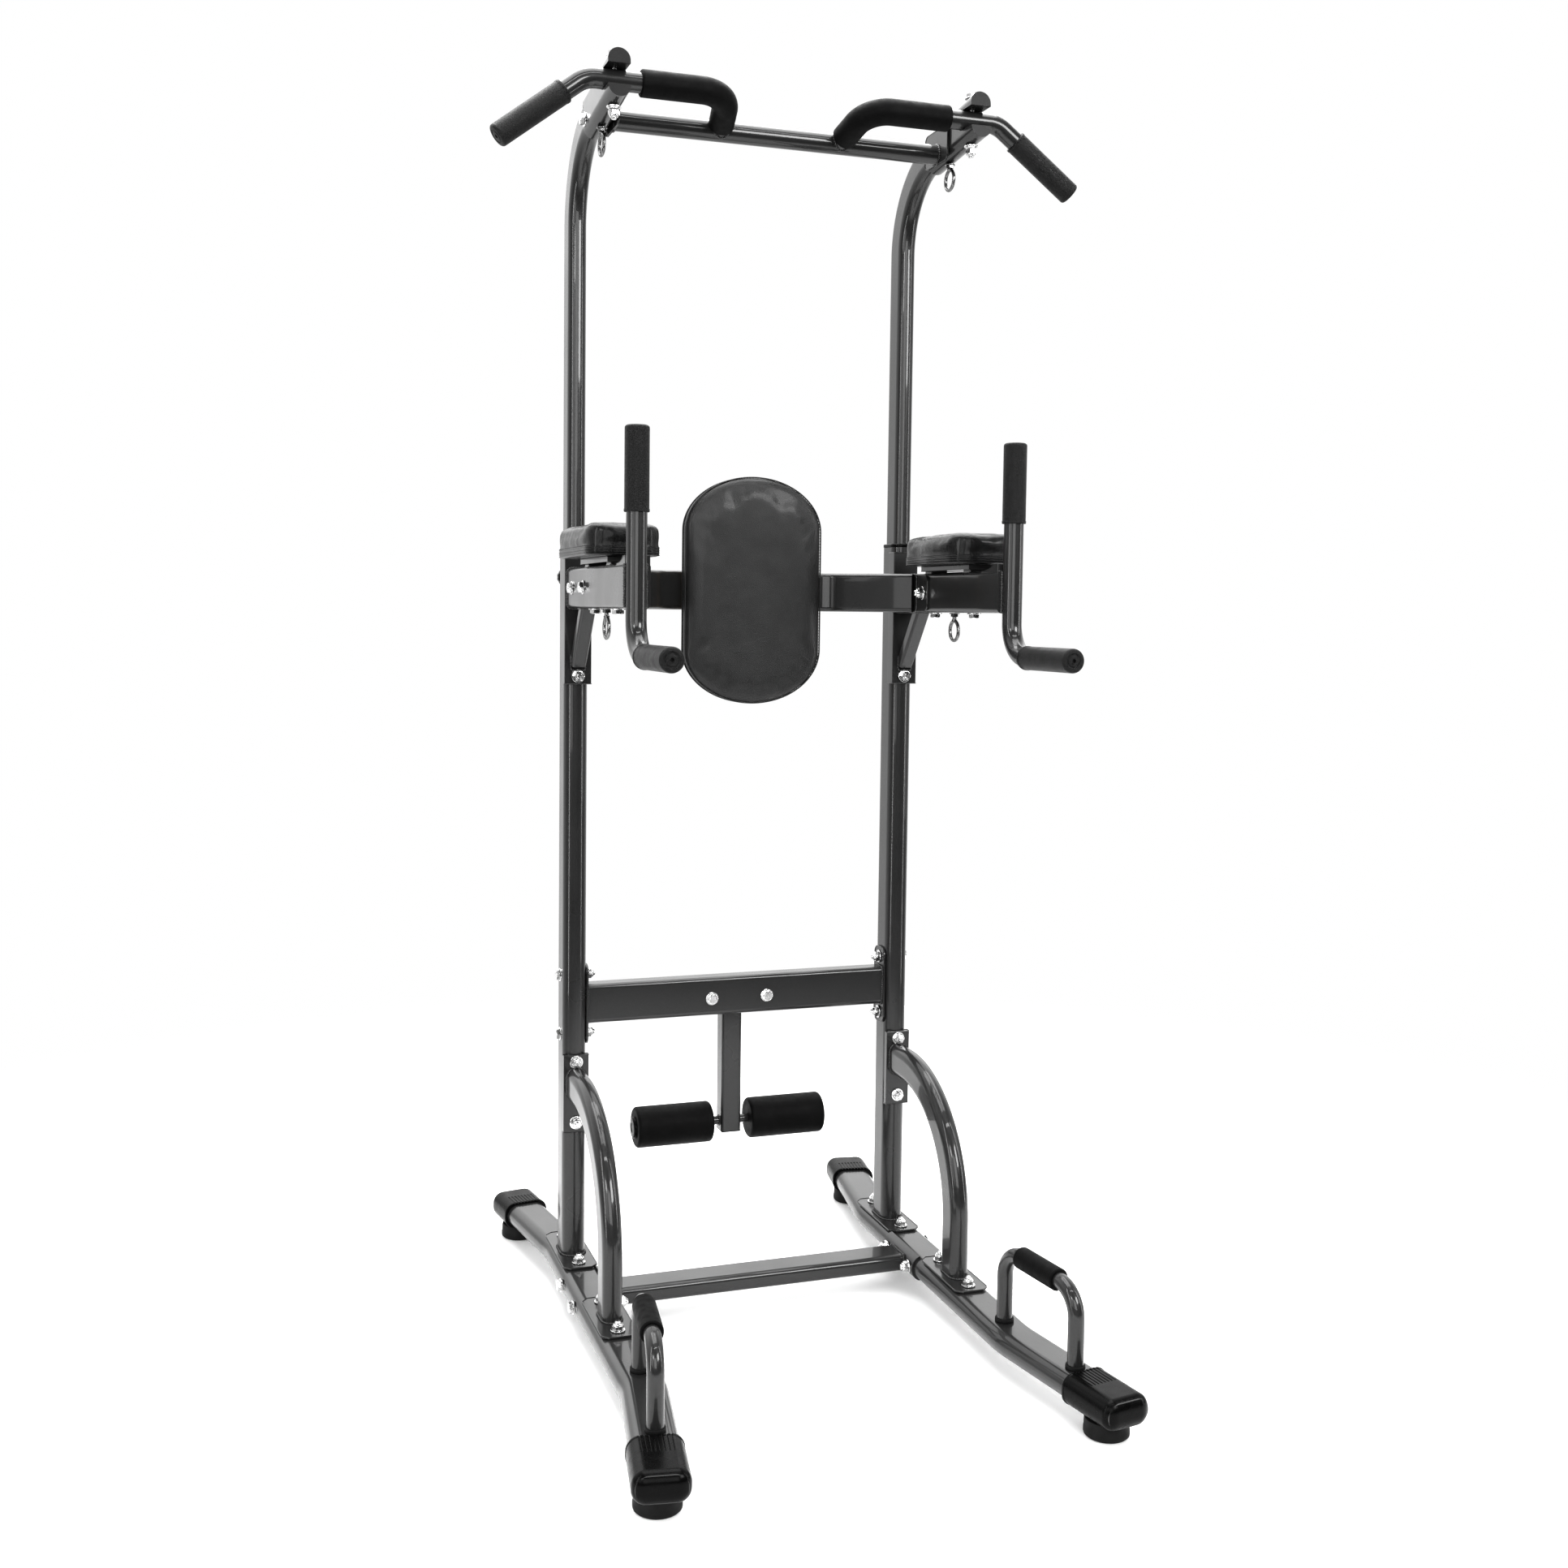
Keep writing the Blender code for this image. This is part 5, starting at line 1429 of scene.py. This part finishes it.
# ---- studio ----
def soft_ramp(tree, source, span, values):
    """A smooth step from one value to another as the source crosses a span."""
    ramp = wired(tree, "MapRange", source, "Value", From_Min=span[0], From_Max=span[1],
                 To_Min=values[0], To_Max=values[1])
    ramp.interpolation_type = 'SMOOTHSTEP'
    return ramp.outputs["Result"]


def build_floor():
    """A pale floor that fades into the white surroundings."""
    bpy.ops.mesh.primitive_circle_add(vertices=96, radius=3.4, fill_type='NGON', location=(0, 0, -0.0005))
    floor = bpy.context.object
    floor.name = "studio_floor"
    surface = Finish("studio_floor", 0.90, 0.55, emission_color=rgba(1.0), emission_strength=0.12)
    distance = wired(surface.tree, "VectorMath", surface.place, 0)
    distance.operation = 'LENGTH'
    fade = soft_ramp(surface.tree, distance.outputs["Value"], (1.1, 2.6), (1.0, 0.0))
    surface.tree.links.new(fade, surface.shader.inputs["Alpha"])
    floor.data.materials.append(surface.material)


def build_world():
    """Surroundings that are plain white to the camera, and give most of their light from behind."""
    world = bpy.data.worlds.new("studio")
    world.use_nodes = True
    tree = world.node_tree
    place = tree.nodes.new("ShaderNodeTexCoord").outputs["Generated"]
    axes = wired(tree, "SeparateXYZ", place, "Vector").outputs
    seen = tree.nodes.new("ShaderNodeLightPath").outputs["Is Camera Ray"]
    brightness = wired(tree, "Mix", seen, "Factor", B=1.0)
    back = soft_ramp(tree, axes["Y"], (-0.4, 0.7), (0.03, 2.4))
    height = soft_ramp(tree, axes["Z"], (0.14, 0.42), (0.50, 1.0))
    graded = wired(tree, "Math", back, 0)
    graded.operation = 'MULTIPLY'
    tree.links.new(height, graded.inputs[1])
    tree.links.new(graded.outputs["Value"], brightness.inputs["A"])
    background = tree.nodes["Background"]
    background.inputs["Color"].default_value = rgba(1.0)
    tree.links.new(brightness.outputs["Result"], background.inputs["Strength"])
    bpy.context.scene.world = world


def softbox(name, place, target, width, height, power):
    """A rectangular light aimed at a point."""
    light = bpy.data.lights.new(name, 'AREA')
    light.shape = 'RECTANGLE'
    light.size = width
    light.size_y = height
    light.energy = power
    lamp = bpy.data.objects.new(name, light)
    lamp.location = place
    lamp.rotation_euler = (Vector(target) - Vector(place)).to_track_quat('-Z', 'Y').to_euler()
    lamp.visible_camera = False
    bpy.context.scene.collection.objects.link(lamp)


def build_lights():
    """The lights, each with its name, place, the point it is aimed at, width, height and power."""
    softbox("overhead", (0.0, 0.3, 3.6), (0, 0, 0.0), 2.6, 2.6, 120)
    softbox("front_top", (0.0, -2.0, 3.9), (0, 0, 1.6), 2.6, 0.22, 26)
    softbox("left_strip", (-2.6, -0.9, 1.5), (0, 0, 1.1), 0.24, 3.2, 32)
    softbox("left_broad", (-2.7, -2.1, 1.6), (0, 0, 1.3), 1.7, 1.8, 24)
    softbox("camera_side", (-1.3, -4.6, 2.3), (0, 0, 1.5), 2.6, 2.4, 90)
    softbox("right_strip", (2.4, -1.3, 1.5), (0, 0, 1.1), 0.18, 3.2, 26)
    softbox("right_broad", (2.9, -0.9, 1.5), (0, 0, 1.3), 1.2, 2.0, 14)
    softbox("front_left", (-2.6, -3.0, 2.9), (0, 0, 1.0), 0.7, 0.7, 26)
    softbox("front_right", (1.7, -3.6, 2.9), (0, 0.1, 1.5), 1.8, 1.4, 130)


def build_camera():
    """The viewpoint: left of the tower's middle, at breast height."""
    yaw, pitch, roll = (radians(angle) for angle in (18.856, 3.697, 0.695))
    ahead = Vector((sin(yaw) * cos(pitch), cos(yaw) * cos(pitch), -sin(pitch)))
    right = Vector((cos(yaw), -sin(yaw), 0.0))
    above = right.cross(ahead)
    right, above = right * cos(roll) + above * sin(roll), above * cos(roll) - right * sin(roll)
    camera = bpy.data.objects.new("camera", bpy.data.cameras.new("camera"))
    bpy.context.scene.collection.objects.link(camera)
    turn = Matrix((right, above, -ahead)).transposed().to_4x4()
    camera.matrix_world = Matrix.Translation((-0.9317, -2.7107, 1.2319)) @ turn
    camera.data.sensor_width = 36.0
    camera.data.lens = 38.68
    camera.data.shift_x = 0.0038
    camera.data.shift_y = -0.0395
    bpy.context.scene.camera = camera


for build in (build_arm_pads, build_back_pad, build_base, build_base_beam, build_uprights, build_braces,
              build_middle_beam, build_roller_post, build_rollers, build_arms, build_back_beam, build_top,
              build_crossbar, build_floor, build_world, build_lights, build_camera):
    build()
bpy.context.scene.view_settings.view_transform = 'Standard'
bpy.context.scene.view_settings.gamma = 0.8
